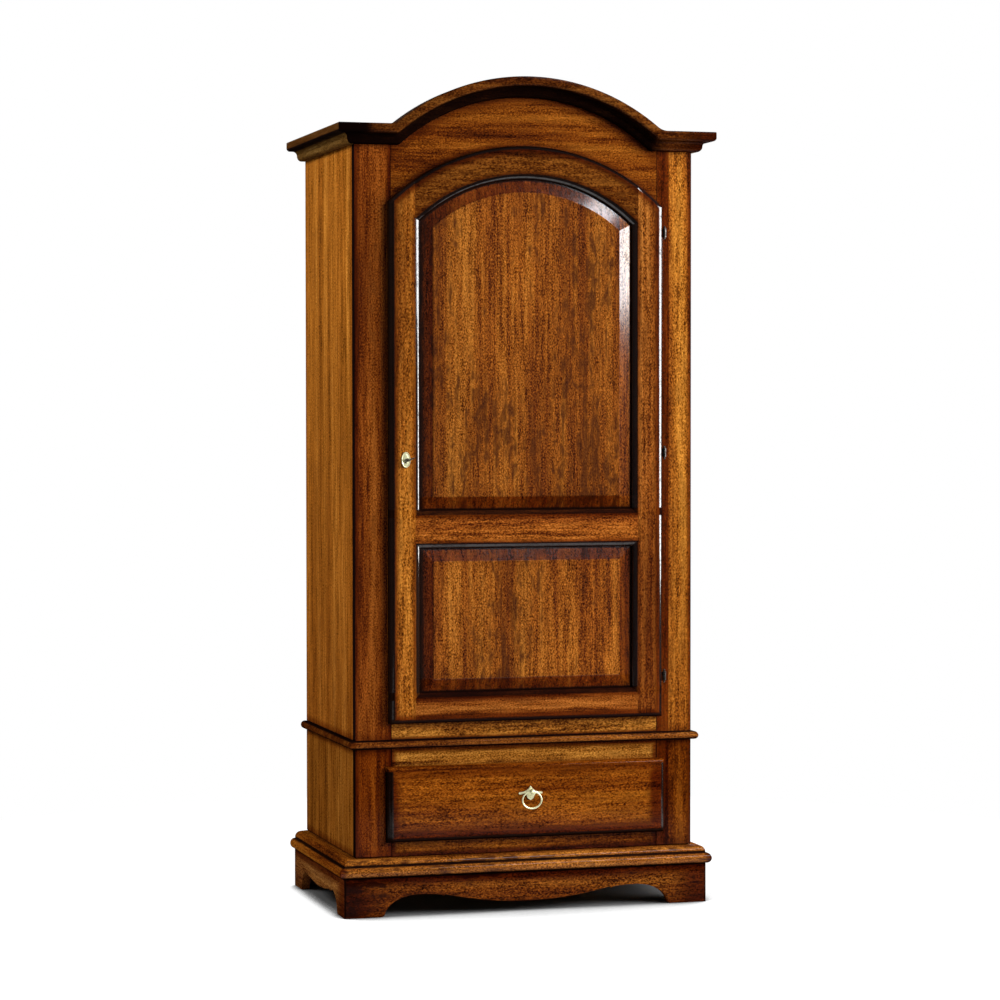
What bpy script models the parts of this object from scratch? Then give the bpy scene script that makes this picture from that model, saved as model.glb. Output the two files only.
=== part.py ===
"""Single-door wardrobe: scrolled plinth, moulded base frame, base case with one drawer, upper case with an
arched frieze and cornice, and a lipped door with an arched raised-and-fielded panel over a square one.

Metres, +Z up, front towards -Y. Places below are measured from the middle of the width (X = 0), the front
face of the case stiles (Y = 0) and the floor (Z = 0). One empty carries every piece and sets it back, so
that the world origin is the middle of the footprint.
"""

import math

import bmesh
import bpy
from mathutils import Matrix, Vector

# Fits
gap = 0.0003
lip_gap = 0.0005
tongue_clearance = 0.0025
slide_clearance = 0.001
hole_clearance = 0.0003
panel_clearance = 0.002
overrun = 0.010

# Case boards
case_width = 0.931
case_depth = 0.570
side_thickness = 0.022
stile_width = 0.0985
stile_thickness = 0.022
back_thickness = 0.006
back_rebate = 0.011
eased_edge = 0.001

# Plinth
plinth_height = 0.1045
plinth_thickness = 0.022
plinth_side_overhang = 0.0346
plinth_front_overhang = 0.0241
front_foot_width = 0.1014
side_foot_width = 0.080
front_arch_run = 0.0987
side_arch_run = 0.062
scroll_height = 0.056
scroll_fall_run = 0.068
side_scroll_fall_run = 0.030
nib_drop = 0.007
nib_run = 0.004
nib_step = 0.004
belly_floor_height = 0.026
side_belly_floor_height = 0.0425
foot_flare = 0.006
back_foot_width = 0.055
back_rail_lift = 0.050
back_rail_thickness = 0.018

# Base frame, a mitred frame with a moulded edge between plinth and base case
base_frame_thickness = 0.0495
base_frame_width = 0.070
base_bead_projection = 0.0132
base_bead_depth = 0.0125
base_bead_height = 0.028
base_quirk_height = 0.004
base_quirk_depth = 0.0015
base_ovolo_depth = 0.0175
base_ovolo_height = 0.015

# Base case and drawer opening
lower_drawer_rail_height = 0.0494
drawer_opening_height = 0.1757
upper_drawer_rail_height = 0.0588
base_floor_thickness = 0.012
runner_width = 0.100
runner_guide_height = 0.028

# Waist board with a nosed edge
waist_thickness = 0.0215
waist_projection = 0.0165
waist_nose_depth = 0.0105

# Upper case
sill_height = 0.0544
door_opening_height = 1.349
door_arch_rise = 0.1466
shoulder_height = 0.1928
upper_floor_thickness = 0.018
top_board_thickness = 0.020
top_board_drop = 0.008
shelf_thickness = 0.018
shelf_height = 1.310
shelf_setback = 0.020
cleat_width = 0.020
cleat_height = 0.028
cleat_end_inset = 0.030
rail_radius = 0.0125
rail_wall = 0.0015
rail_drop = 0.085
rail_depth = 0.290
socket_flange_radius = 0.028
socket_flange_thickness = 0.004
socket_cup_wall = 0.003
socket_cup_depth = 0.018

# Cornice
cornice_overhang = 0.053
cornice_height = 0.0515
cornice_crown_rise = 0.1324
cornice_arch_radius = 0.572
cornice_cap_thickness = 0.0105
cornice_cove_radius = 0.045
cornice_cove_least = 0.004
cornice_top_round = 0.003
cornice_fascia_height = 0.016
cornice_fascia_round = 0.009
cornice_soffit_width = 0.008
cornice_hollow = 0.0125
cornice_ovolo = 0.0125

# Door
lip_overlap = 0.011
lip_thickness = 0.023
tongue_depth = 0.0085
edge_round_width = 0.011
edge_round_depth = 0.0105
edge_step_rise = 0.002
edge_step_run = 0.0006
door_stile_width = 0.071
door_bottom_rail_width = 0.0661
door_mid_rail_width = 0.0711
door_top_rail_width = 0.0739
door_shoulder_width = 0.044
lower_panel_height = 0.4072
sticking_quirk = 0.002
sticking_step = 0.0015
sticking_round_width = 0.013
sticking_round_depth = 0.0135
groove_width = 0.0064
groove_depth = 0.010
bevel_width = 0.035
bevel_rise = 0.0085
field_step = 0.0013
field_step_run = 0.001

# Barrel hinges
hinge_axis_out = 0.0065
hinge_axis_forward = 0.0135
hinge_radius = 0.0055
hinge_knuckle_height = 0.0118
hinge_pin_radius = 0.0022
hinge_pin_height = 0.009
hinge_bore_clearance = 0.0003
hinge_finial_radius = 0.0030
hinge_neck_radius = 0.0024
hinge_neck_height = 0.0012
hinge_stud_radius = 0.0021
hinge_frame_stud_reach = 0.016
hinge_frame_stud_offset = 0.002
hinge_door_stud_reach = 0.026
hinge_door_stud_depth = 0.0095
hinge_low_inset = 0.1081
hinge_high_inset = 0.0697
hinge_middle_share = 0.505

# Lock, bolt, key and escutcheon
lock_height = 0.6913
lock_inset = 0.0445
lock_case_height = 0.060
lock_case_length = 0.050
lock_case_depth = 0.0125
lock_case_setback = 0.001
bolt_length = 0.038
bolt_height = 0.014
bolt_thickness = 0.006
bolt_wall = 0.0035
bolt_throw = 0.009
bolt_key_clearance = 0.0015
talon_lead = 0.0030
talon_trail = 0.0024
talon_depth = 0.0055
strike_depth = 0.010
key_radius = 0.003
key_reach = 0.046
key_collar_radius = 0.0046
key_collar_length = 0.003
key_bow_length = 0.026
key_bow_half_width = 0.0155
key_bow_wire = 0.0018
key_bow_tilt_share = 0.14
key_bit_length = 0.0055
key_bit_width = 0.0025
key_bit_thickness = 0.004
keyhole_slot_width = 0.0036
keyhole_clearance = 0.0006
escutcheon_half_width = 0.0122
escutcheon_half_height = 0.0208
escutcheon_thickness = 0.0026
escutcheon_rim = 0.0030

# Drawer
drawer_lip_side = 0.017
drawer_lip_ends = 0.011
drawer_side_height = 0.140
drawer_side_thickness = 0.014
drawer_box_length = 0.495
drawer_back_drop = 0.012
drawer_bottom_thickness = 0.005
drawer_tongue_thickness = 0.0035
drawer_bottom_height = 0.009
drawer_groove_depth = 0.006

# Ring pull
pull_plate_half_width = 0.033
pull_plate_height = 0.0382
pull_plate_eye_share = 0.626
pull_side_offset = 0.006
pull_plate_thickness = 0.0026
pull_eye_height = 0.0252
pull_eye_reach = 0.0150
pull_eye_radius = 0.0068
pull_eye_hole = 0.0033
pull_post_radius = 0.0042
pull_bolt_radius = 0.0025
pull_nut_radius = 0.006
pull_nut_thickness = 0.003
ring_half_width = 0.0262
ring_half_height = 0.0225
ring_wire_radius = 0.0023

# Facets
arch_steps = 30
cove_steps = 5
round_steps = 4
turned_steps = 16
oval_steps = 32
ring_steps = 36

# Levels above the floor, from the bottom up
z_base_frame = plinth_height + gap
z_base_case = z_base_frame + base_frame_thickness + gap
base_case_height = lower_drawer_rail_height + drawer_opening_height + upper_drawer_rail_height
z_drawer_opening = z_base_case + lower_drawer_rail_height
z_drawer_opening_top = z_drawer_opening + drawer_opening_height
z_waist = z_base_case + base_case_height + gap
z_upper_case = z_waist + waist_thickness + gap
z_door_opening = z_upper_case + sill_height
z_door_spring = z_door_opening + door_opening_height
z_case_top = z_door_spring + shoulder_height
z_shoulder = z_case_top + gap + cornice_cap_thickness
z_crest = z_shoulder + cornice_crown_rise

# Widths and depths
case_half = case_width / 2
inner_half = case_half - side_thickness
opening_half = case_half - stile_width
y_back = case_depth
y_back_panel = case_depth - back_thickness
door_front = lip_gap + lip_thickness
front_reach = max(cornice_overhang, door_front + key_reach)
y_middle = (y_back - front_reach) / 2

collection = bpy.data.collections.new("wardrobe")
cutters = bpy.data.collections.new("cutters")


def clear_scene():
    for old in list(bpy.data.objects):
        bpy.data.objects.remove(old, do_unlink=True)
    bpy.context.scene.collection.children.link(collection)
    bpy.context.scene.collection.children.link(cutters)
    cutters.hide_render = True


def finish(name, colour, roughness, metallic=0.0):
    """A plain Principled material."""
    made = bpy.data.materials.new(name)
    made.use_nodes = True
    shader = made.node_tree.nodes["Principled BSDF"]
    shader.inputs["Base Color"].default_value = (*colour, 1.0)
    shader.inputs["Roughness"].default_value = roughness
    shader.inputs["Metallic"].default_value = metallic
    return made


def group(name, place, parent=None):
    """An empty at a place in the case's frame. It carries pieces that belong or move together."""
    empty = bpy.data.objects.new(name, None)
    collection.objects.link(empty)
    empty["place"] = tuple(place)
    empty.location = Vector(place)
    if parent is not None:
        empty.parent = parent
        empty.location = Vector(place) - Vector(parent["place"])
    return empty


def seat(piece, carrier, material, origin):
    """Hangs a piece made in the case's frame on its empty, with its own origin at the given place."""
    piece.data.transform(Matrix.Translation(-Vector(origin)))
    piece.parent = carrier
    piece.location = Vector(origin) - Vector(carrier["place"])
    piece.data.materials.append(material)
    return piece


def object_from(bm, name, where):
    bmesh.ops.recalc_face_normals(bm, faces=bm.faces[:])
    mesh = bpy.data.meshes.new(name)
    bm.to_mesh(mesh)
    bm.free()
    made = bpy.data.objects.new(name, mesh)
    where.objects.link(made)
    return made


def loft(name, rings, where=collection):
    """A closed solid carried through rings that hold the same number of points, with both ends capped."""
    bm = bmesh.new()
    rows = [[bm.verts.new(point) for point in ring] for ring in rings]
    count = len(rows[0])
    for low, high in zip(rows, rows[1:]):
        for i in range(count):
            j = (i + 1) % count
            bm.faces.new((low[i], low[j], high[j], high[i]))
    bm.faces.new(rows[0])
    bm.faces.new(rows[-1])
    return object_from(bm, name, where)


def prism(name, outline, axis, low, high, where=collection):
    """A flat outline extruded straight along one axis, from low to high."""
    place = {"X": lambda a, b: (low, a, b), "Y": lambda a, b: (a, low, b), "Z": lambda a, b: (a, b, low)}[axis]
    bm = bmesh.new()
    face = bm.faces.new([bm.verts.new(place(a, b)) for a, b in outline])
    grown = bmesh.ops.extrude_face_region(bm, geom=[face])["geom"]
    path = {"X": (high - low, 0, 0), "Y": (0, high - low, 0), "Z": (0, 0, high - low)}[axis]
    bmesh.ops.translate(bm, verts=[part for part in grown if isinstance(part, bmesh.types.BMVert)], vec=path)
    return object_from(bm, name, where)


def board(name, x, y, z, where=collection):
    """A square-edged board between two places on each axis."""
    bm = bmesh.new()
    bmesh.ops.create_cube(bm, size=1)
    middle = Vector(((x[0] + x[1]) / 2, (y[0] + y[1]) / 2, (z[0] + z[1]) / 2))
    sides = Matrix.Diagonal((x[1] - x[0], y[1] - y[0], z[1] - z[0], 1))
    bmesh.ops.transform(bm, matrix=Matrix.Translation(middle) @ sides, verts=bm.verts[:])
    return object_from(bm, name, where)


def rod(name, start, end, radius, steps=turned_steps, where=collection):
    """A round bar between two places."""
    start, end = Vector(start), Vector(end)
    bm = bmesh.new()
    bmesh.ops.create_cone(
        bm, cap_ends=True, segments=steps, radius1=radius, radius2=radius, depth=(end - start).length
    )
    turn = (end - start).to_track_quat("Z", "Y").to_matrix().to_4x4()
    bmesh.ops.transform(bm, matrix=Matrix.Translation((start + end) / 2) @ turn, verts=bm.verts[:])
    return object_from(bm, name, where)


def turned(name, profile, place, axis=(0, 0, 1), steps=turned_steps, where=collection):
    """A turned shape: (radius, height) pairs from top to bottom, spun round the axis through a place."""
    mesh = bpy.data.meshes.new(name)
    points = [(radius, 0, height) for radius, height in profile]
    mesh.from_pydata(points, [(i, i + 1) for i in range(len(points) - 1)], [])
    made = bpy.data.objects.new(name, mesh)
    where.objects.link(made)
    spin = made.modifiers.new("spin", "SCREW")
    spin.steps = steps
    spin.render_steps = steps
    spin.use_merge_vertices = True
    spin.merge_threshold = 0.00001
    bpy.context.view_layer.update()
    solid = bpy.data.meshes.new_from_object(made.evaluated_get(bpy.context.evaluated_depsgraph_get()))
    made.modifiers.clear()
    made.data = solid
    turn = Vector(axis).to_track_quat("Z", "Y").to_matrix().to_4x4()
    solid.transform(Matrix.Translation(Vector(place)) @ turn)
    return made


def smooth(piece, angle=math.radians(35)):
    piece.data.shade_smooth()
    piece.data.set_sharp_from_angle(angle=angle)
    return piece


def change(piece, tool, operation):
    """A Boolean of a piece with a tool made in the same frame, worked out at once. The tool is kept as a guide."""
    step = piece.modifiers.new(tool.name, "BOOLEAN")
    step.operation = operation
    step.solver = "EXACT"
    step.object = tool
    bpy.context.view_layer.update()
    solid = bpy.data.meshes.new_from_object(piece.evaluated_get(bpy.context.evaluated_depsgraph_get()))
    piece.modifiers.clear()
    piece.data = solid
    return piece


def guide(tool):
    """A tool is drawn as wire and never rendered."""
    for holder in list(tool.users_collection):
        holder.objects.unlink(tool)
    cutters.objects.link(tool)
    tool.hide_render = True
    tool.display_type = "WIRE"
    return tool


def cut(piece, *tools):
    for tool in tools:
        change(piece, guide(tool), "DIFFERENCE")
    return piece


def join(piece, *tools):
    for tool in tools:
        change(piece, guide(tool), "UNION")
    return piece


def keep(piece, tool):
    return change(piece, guide(tool), "INTERSECT")


def eased(piece, width=eased_edge):
    """Small flats along the arrises of a board."""
    bevel = piece.modifiers.new("eased", "BEVEL")
    bevel.width = width
    bevel.segments = 1
    bevel.limit_method = "ANGLE"
    return piece


def arc(centre, radius_x, radius_y, start, end, steps):
    """Points along an ellipse's arc, both ends included, with angles in degrees."""
    found = []
    for i in range(steps + 1):
        angle = math.radians(start + (end - start) * i / steps)
        found.append((centre[0] + radius_x * math.cos(angle), centre[1] + radius_y * math.sin(angle)))
    return found


def circle_through(half_chord, rise):
    return (half_chord * half_chord + rise * rise) / (2 * rise)


def inset(outline, distance):
    """A flat outline with every side moved inwards by a distance. It runs anticlockwise."""
    found = []
    for i, here in enumerate(outline):
        before, after = Vector(outline[i - 1]), Vector(outline[(i + 1) % len(outline)])
        here = Vector(here)
        first, second = (here - before).normalized(), (after - here).normalized()
        inward_first = Vector((-first.y, first.x))
        inward_second = Vector((-second.y, second.x))
        share = 1 + inward_first.dot(inward_second)
        found.append(tuple(here + (inward_first + inward_second) * (distance / share)))
    return found


class Opening:
    """A square or arch-topped opening in the front's plane, whose outline can be drawn larger or smaller."""

    def __init__(self, half, bottom, spring, rise=0.0):
        self.half, self.bottom, self.spring, self.rise = half, bottom, spring, rise
        self.radius = circle_through(half, rise) if rise else 0.0
        self.centre = spring + rise - self.radius

    def corner(self, out):
        """Where the right side meets the top, on the outline drawn out by a distance."""
        half = self.half + out
        if not self.rise:
            return half, self.spring + out
        return half, self.centre + math.sqrt((self.radius + out) ** 2 - half * half)

    def top(self, out):
        """Points along the top from right to left."""
        half, z = self.corner(out)
        if not self.rise:
            return [(half, z), (-half, z)]
        angle = math.degrees(math.atan2(z - self.centre, half))
        radius = self.radius + out
        return arc((0, self.centre), radius, radius, angle, 180 - angle, arch_steps)

    def outline(self, out=0.0):
        half = self.half + out
        low = self.bottom - out
        return [(-half, low), (half, low)] + self.top(out)

    def rings(self, steps):
        """Rings for a loft: steps are pairs of how far out the outline is drawn and its place on Y."""
        return [[(x, y, z) for x, z in self.outline(out)] for out, y in steps]


def edge_profile(overlap, tongue_out):
    """The section of a lipped front's edge: tongue, lip, square wall, quarter round and a small step to the face."""
    wall_front = lip_gap + lip_thickness - edge_step_rise - edge_round_depth
    steps = [(tongue_out, tongue_depth), (tongue_out, -lip_gap), (overlap, -lip_gap), (overlap, -wall_front)]
    for across, forward in arc((0, 0), edge_round_width, edge_round_depth, 0, 90, round_steps)[1:]:
        steps.append((overlap - edge_round_width + across, -wall_front - forward))
    steps.append((overlap - edge_round_width - edge_step_run, -lip_gap - lip_thickness))
    return steps


def scroll(half_length, foot, arch_run, fall_run, belly_floor):
    """The lower edge of an apron from its right foot to its left one: arch, nib and hanging belly, mirrored."""
    foot_in = half_length - foot
    peak = foot_in - arch_run
    nib = peak - fall_run
    right = [(foot_in, 0)]
    right += arc((peak, 0), arch_run - foot_flare, scroll_height, 0, 90, 2 * round_steps + 1)[1:]
    for x, z in arc((peak, scroll_height - nib_drop), fall_run, nib_drop, 90, 180, round_steps)[1:]:
        right.append((x, z))
    belly_start = nib - nib_run
    belly_top = scroll_height - nib_drop + nib_step
    right.append((belly_start, belly_top))
    sag = belly_top - belly_floor
    radius = circle_through(belly_start, sag)
    angle = math.degrees(math.asin(belly_start / radius))
    belly = arc((0, belly_floor + radius), radius, radius, 270 + angle, 270 - angle, 3 * round_steps)
    left = [(-x, z) for x, z in reversed(right)]
    return right[:-1] + belly + left[1:]


# Cornice path

def cornice_top_line(down):
    """The right half of the cornice's line from the shoulder to the crown, for a member some way down from its top.

    The shoulder is level, the crown an arc, and a cove joins them. The cove tightens to a plain mitre
    towards the bottom members.
    """
    level = z_shoulder - down
    radius = cornice_arch_radius - down
    centre = z_crest - cornice_arch_radius
    cove = max(cornice_cove_least, cornice_cove_radius * (1 - down / cornice_height))
    rise = level + cove - centre
    across = math.sqrt((radius + cove) ** 2 - rise * rise)
    turn = math.degrees(math.atan2(-rise, -across))
    line = arc((across, level + cove), cove, cove, -90, turn, cove_steps)
    start = math.degrees(math.atan2(rise, across))
    return line + arc((0, centre), radius, radius, start, 90, arch_steps)[1:]


def cornice_profile():
    """The cornice's section as (outward, down) pairs, once round: cap, fascia, soffit, hollow, ovolo and back."""
    out = cornice_overhang
    section = [(-side_thickness, 0)]
    section += [(out - cornice_top_round + x, cornice_top_round - y)
                for x, y in arc((0, 0), cornice_top_round, cornice_top_round, 90, 0, round_steps)]
    section += [(out - cornice_fascia_round + x, cornice_fascia_height - y)
                for x, y in arc((0, 0), cornice_fascia_round, cornice_fascia_round, 0, -90, round_steps)]
    hollow_out = out - cornice_fascia_round - cornice_soffit_width
    hollow_top = cornice_fascia_height + cornice_fascia_round
    section += [(hollow_out + x, hollow_top + cornice_hollow - y)
                for x, y in arc((0, 0), cornice_hollow, cornice_hollow, 90, 180, round_steps)]
    ovolo_out = hollow_out - cornice_hollow
    ovolo_height = cornice_height - hollow_top - cornice_hollow
    section += [(ovolo_out - cornice_ovolo + x, cornice_height - ovolo_height - y)
                for x, y in arc((0, 0), cornice_ovolo, ovolo_height, 0, -90, round_steps)[1:]]
    section += [(gap, cornice_height), (gap, cornice_cap_thickness), (-side_thickness, cornice_cap_thickness)]
    return section


def base_frame_profile():
    """The base frame's section as (outward from the bead's nose, up) pairs: bead, quirk, ovolo and back."""
    section = [(-base_frame_width, 0), (-base_bead_depth, 0)]
    section += [(x - base_bead_depth, y + base_bead_height / 2)
                for x, y in arc((0, 0), base_bead_depth, base_bead_height / 2, -90, 90, 2 * round_steps)[1:]]
    quirk_in = base_bead_depth + base_quirk_depth
    quirk_top = base_bead_height + base_quirk_height
    section += [(-quirk_in, base_bead_height), (-quirk_in, quirk_top)]
    ovolo_in = quirk_in + base_ovolo_depth
    section += [(x - ovolo_in, y + quirk_top)
                for x, y in arc((0, 0), base_ovolo_depth, base_ovolo_height, 0, 90, round_steps)[1:]]
    section += [(-ovolo_in, base_frame_thickness), (-base_frame_width, base_frame_thickness)]
    return section


clear_scene()
wood = finish("walnut stain", (0.32, 0.13, 0.035), 0.30)
wood_dark = finish("dark stain", (0.10, 0.040, 0.014), 0.32)
inner_wood = finish("inner board", (0.45, 0.27, 0.12), 0.55)
dark_metal = finish("dark bronze", (0.06, 0.05, 0.045), 0.35, 1.0)
nickel = finish("old nickel", (0.62, 0.60, 0.54), 0.28, 1.0)
steel = finish("steel", (0.55, 0.55, 0.55), 0.30, 1.0)

wardrobe = group("wardrobe_frame", (0, 0, 0))
wardrobe.location = (0, -y_middle, 0)


# Plinth: scrolled front and side aprons mitred at the front corners, and a back rail on two feet, which is
# notched round the side lengths of the base frame and closes it

def build_plinth():
    front = -plinth_front_overhang
    outer = case_half + plinth_side_overhang
    inner = outer - plinth_thickness
    half_side = (y_back - front) / 2
    side_middle = (y_back + front) / 2
    lower = scroll(outer, front_foot_width, front_arch_run, scroll_fall_run, belly_floor_height)

    def front_ring(end, y):
        return [(x, y, z) for x, z in [(end, 0)] + lower + [(-end, 0), (-end, plinth_height), (end, plinth_height)]]

    apron = loft("plinth_front", [front_ring(outer, front), front_ring(inner, front + plinth_thickness)])
    seat(apron, wardrobe, wood, (0, front, 0))

    side_edge = scroll(half_side, side_foot_width, side_arch_run, side_scroll_fall_run, side_belly_floor_height)
    side_lower = [(side_middle - run, z) for run, z in side_edge]
    for name, side in (("plinth_left", -1), ("plinth_right", 1)):
        def side_ring(x, start):
            ends = [(start, 0)] + side_lower + [(y_back, 0), (y_back, plinth_height), (start, plinth_height)]
            return [(side * x, y, z) for y, z in ends]

        mitre = front + gap * math.sqrt(2)
        piece = loft(name, [side_ring(outer, mitre), side_ring(inner, mitre + plinth_thickness)])
        seat(piece, wardrobe, wood, (side * outer, front, 0))

    end = inner - gap
    foot = end - back_foot_width
    neck = case_half + plinth_side_overhang + base_bead_projection - base_frame_width - gap
    neck_top = z_base_case - gap
    outline = [(end, 0), (end, plinth_height), (neck, plinth_height), (neck, neck_top), (-neck, neck_top),
               (-neck, plinth_height), (-end, plinth_height), (-end, 0), (-foot, 0),
               (-foot, back_rail_lift), (foot, back_rail_lift), (foot, 0)]
    rail = prism("plinth_back", outline, "Y", y_back - back_rail_thickness, y_back)
    seat(rail, wardrobe, wood_dark, (0, y_back, 0))


# Base frame: three mitred lengths that lie on the plinth and carry the base case

def build_base_frame():
    section = base_frame_profile()
    nose_front = plinth_front_overhang + base_bead_projection
    nose_side = case_half + plinth_side_overhang + base_bead_projection

    def front_ring(side):
        return [(side * (nose_side + out), -nose_front - out, z_base_frame + up) for out, up in section]

    piece = loft("base_frame_front", [front_ring(-1), front_ring(1)])
    seat(smooth(piece), wardrobe, wood, (0, -nose_front, z_base_frame))
    for name, side in (("base_frame_left", -1), ("base_frame_right", 1)):
        mitred = [
            (side * (nose_side + out), gap * math.sqrt(2) - nose_front - out, z_base_frame + up)
            for out, up in section
        ]
        square = [(side * (nose_side + out), y_back, z_base_frame + up) for out, up in section]
        piece = loft(name, [mitred, square])
        seat(smooth(piece), wardrobe, wood, (side * nose_side, -nose_front, z_base_frame))


# A case side is rebated at the back for the back panel, and butts on the back of its stile

def case_side(name, side, low, high):
    front = stile_thickness + gap
    rebate = y_back_panel - gap
    outline = [
        (side * case_half, front), (side * case_half, y_back),
        (side * (inner_half + back_rebate), y_back), (side * (inner_half + back_rebate), rebate),
        (side * inner_half, rebate), (side * inner_half, front),
    ]
    piece = prism(name, outline, "Z", low, high)
    return seat(piece, wardrobe, wood, (side * case_half, front, low))


def back_panel(name, low, high):
    edge = inner_half + back_rebate - gap
    piece = board(name, (-edge, edge), (y_back_panel, y_back), (low, high))
    return seat(piece, wardrobe, inner_wood, (0, y_back, low))


def stile(name, side, low, high):
    x = sorted((side * case_half, side * opening_half))
    return board(name, x, (0, stile_thickness), (low, high))


def front_rail(name, low, high):
    end = opening_half - gap
    piece = board(name, (-end, end), (0, stile_thickness), (low, high))
    return seat(piece, wardrobe, wood, (0, 0, low))


def build_base_case():
    top = z_base_case + base_case_height
    for side, word in ((-1, "left"), (1, "right")):
        case_side("base_side_" + word, side, z_base_case, top)
        post = stile("base_stile_" + word, side, z_base_case, top)
        seat(post, wardrobe, wood, (side * case_half, 0, z_base_case))
    front_rail("drawer_rail_lower", z_base_case, z_drawer_opening)
    front_rail("drawer_rail_upper", z_drawer_opening_top, top)
    back_panel("base_back", z_base_case, top)
    behind = stile_thickness + gap
    panel = y_back_panel - gap
    end = inner_half - gap
    floor_top = z_base_case + base_floor_thickness
    piece = board("base_floor", (-end, end), (behind, panel), (z_base_case, floor_top))
    seat(piece, wardrobe, inner_wood, (0, behind, z_base_case))
    bearing = z_drawer_opening + tongue_clearance - gap
    guide_in = opening_half - tongue_clearance + slide_clearance
    for side, word in ((-1, "left"), (1, "right")):
        low = floor_top + gap
        outline = [
            (side * (end - runner_width), low), (side * end, low), (side * end, bearing + runner_guide_height),
            (side * guide_in, bearing + runner_guide_height), (side * guide_in, bearing),
            (side * (end - runner_width), bearing),
        ]
        piece = prism("drawer_runner_" + word, outline, "Y", behind, panel)
        seat(piece, wardrobe, inner_wood, (side * end, behind, low))


# Waist board: it closes the base case and shows as a half-round nosing between the two cases

def build_waist():
    straight = waist_projection - waist_nose_depth
    section = [(0, 0)]
    section += [(straight + x, waist_thickness / 2 + y)
                for x, y in arc((0, 0), waist_nose_depth, waist_thickness / 2, -90, 90, 2 * round_steps)]
    section += [(0, waist_thickness)]

    def ring(out, up):
        half = case_half + out
        return [(-half, -out, z_waist + up), (half, -out, z_waist + up),
                (half, y_back, z_waist + up), (-half, y_back, z_waist + up)]

    piece = loft("waist_board", [ring(out, up) for out, up in section[1:-1]])
    seat(smooth(piece), wardrobe, wood, (0, 0, z_waist))


door_opening = Opening(opening_half, z_door_opening, z_door_spring, door_arch_rise)
door_corner = door_opening.corner(lip_overlap)[1]
door_low = z_door_opening - lip_overlap
door_crown = z_door_spring + door_arch_rise + lip_overlap
hinge_x = opening_half + lip_overlap + hinge_axis_out
hinge_y = -hinge_axis_forward
hinge_low = door_low + hinge_low_inset
hinge_high = door_corner - hinge_high_inset
hinge_middle = hinge_low + (hinge_high - hinge_low) * hinge_middle_share
hinge_levels = (("low", hinge_low), ("middle", hinge_middle), ("high", hinge_high))
key_x = -(opening_half + lip_overlap - lock_inset)
key_z = door_low + lock_height
bolt_y = tongue_depth + gap + bolt_wall
bolt_top = key_z - key_radius - bolt_key_clearance
bolt_nose = -(opening_half - tongue_clearance - lock_case_setback)


# Upper case: sides, stiles, sill, arched frieze, floor, top, back, shelf and hanging rail

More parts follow.
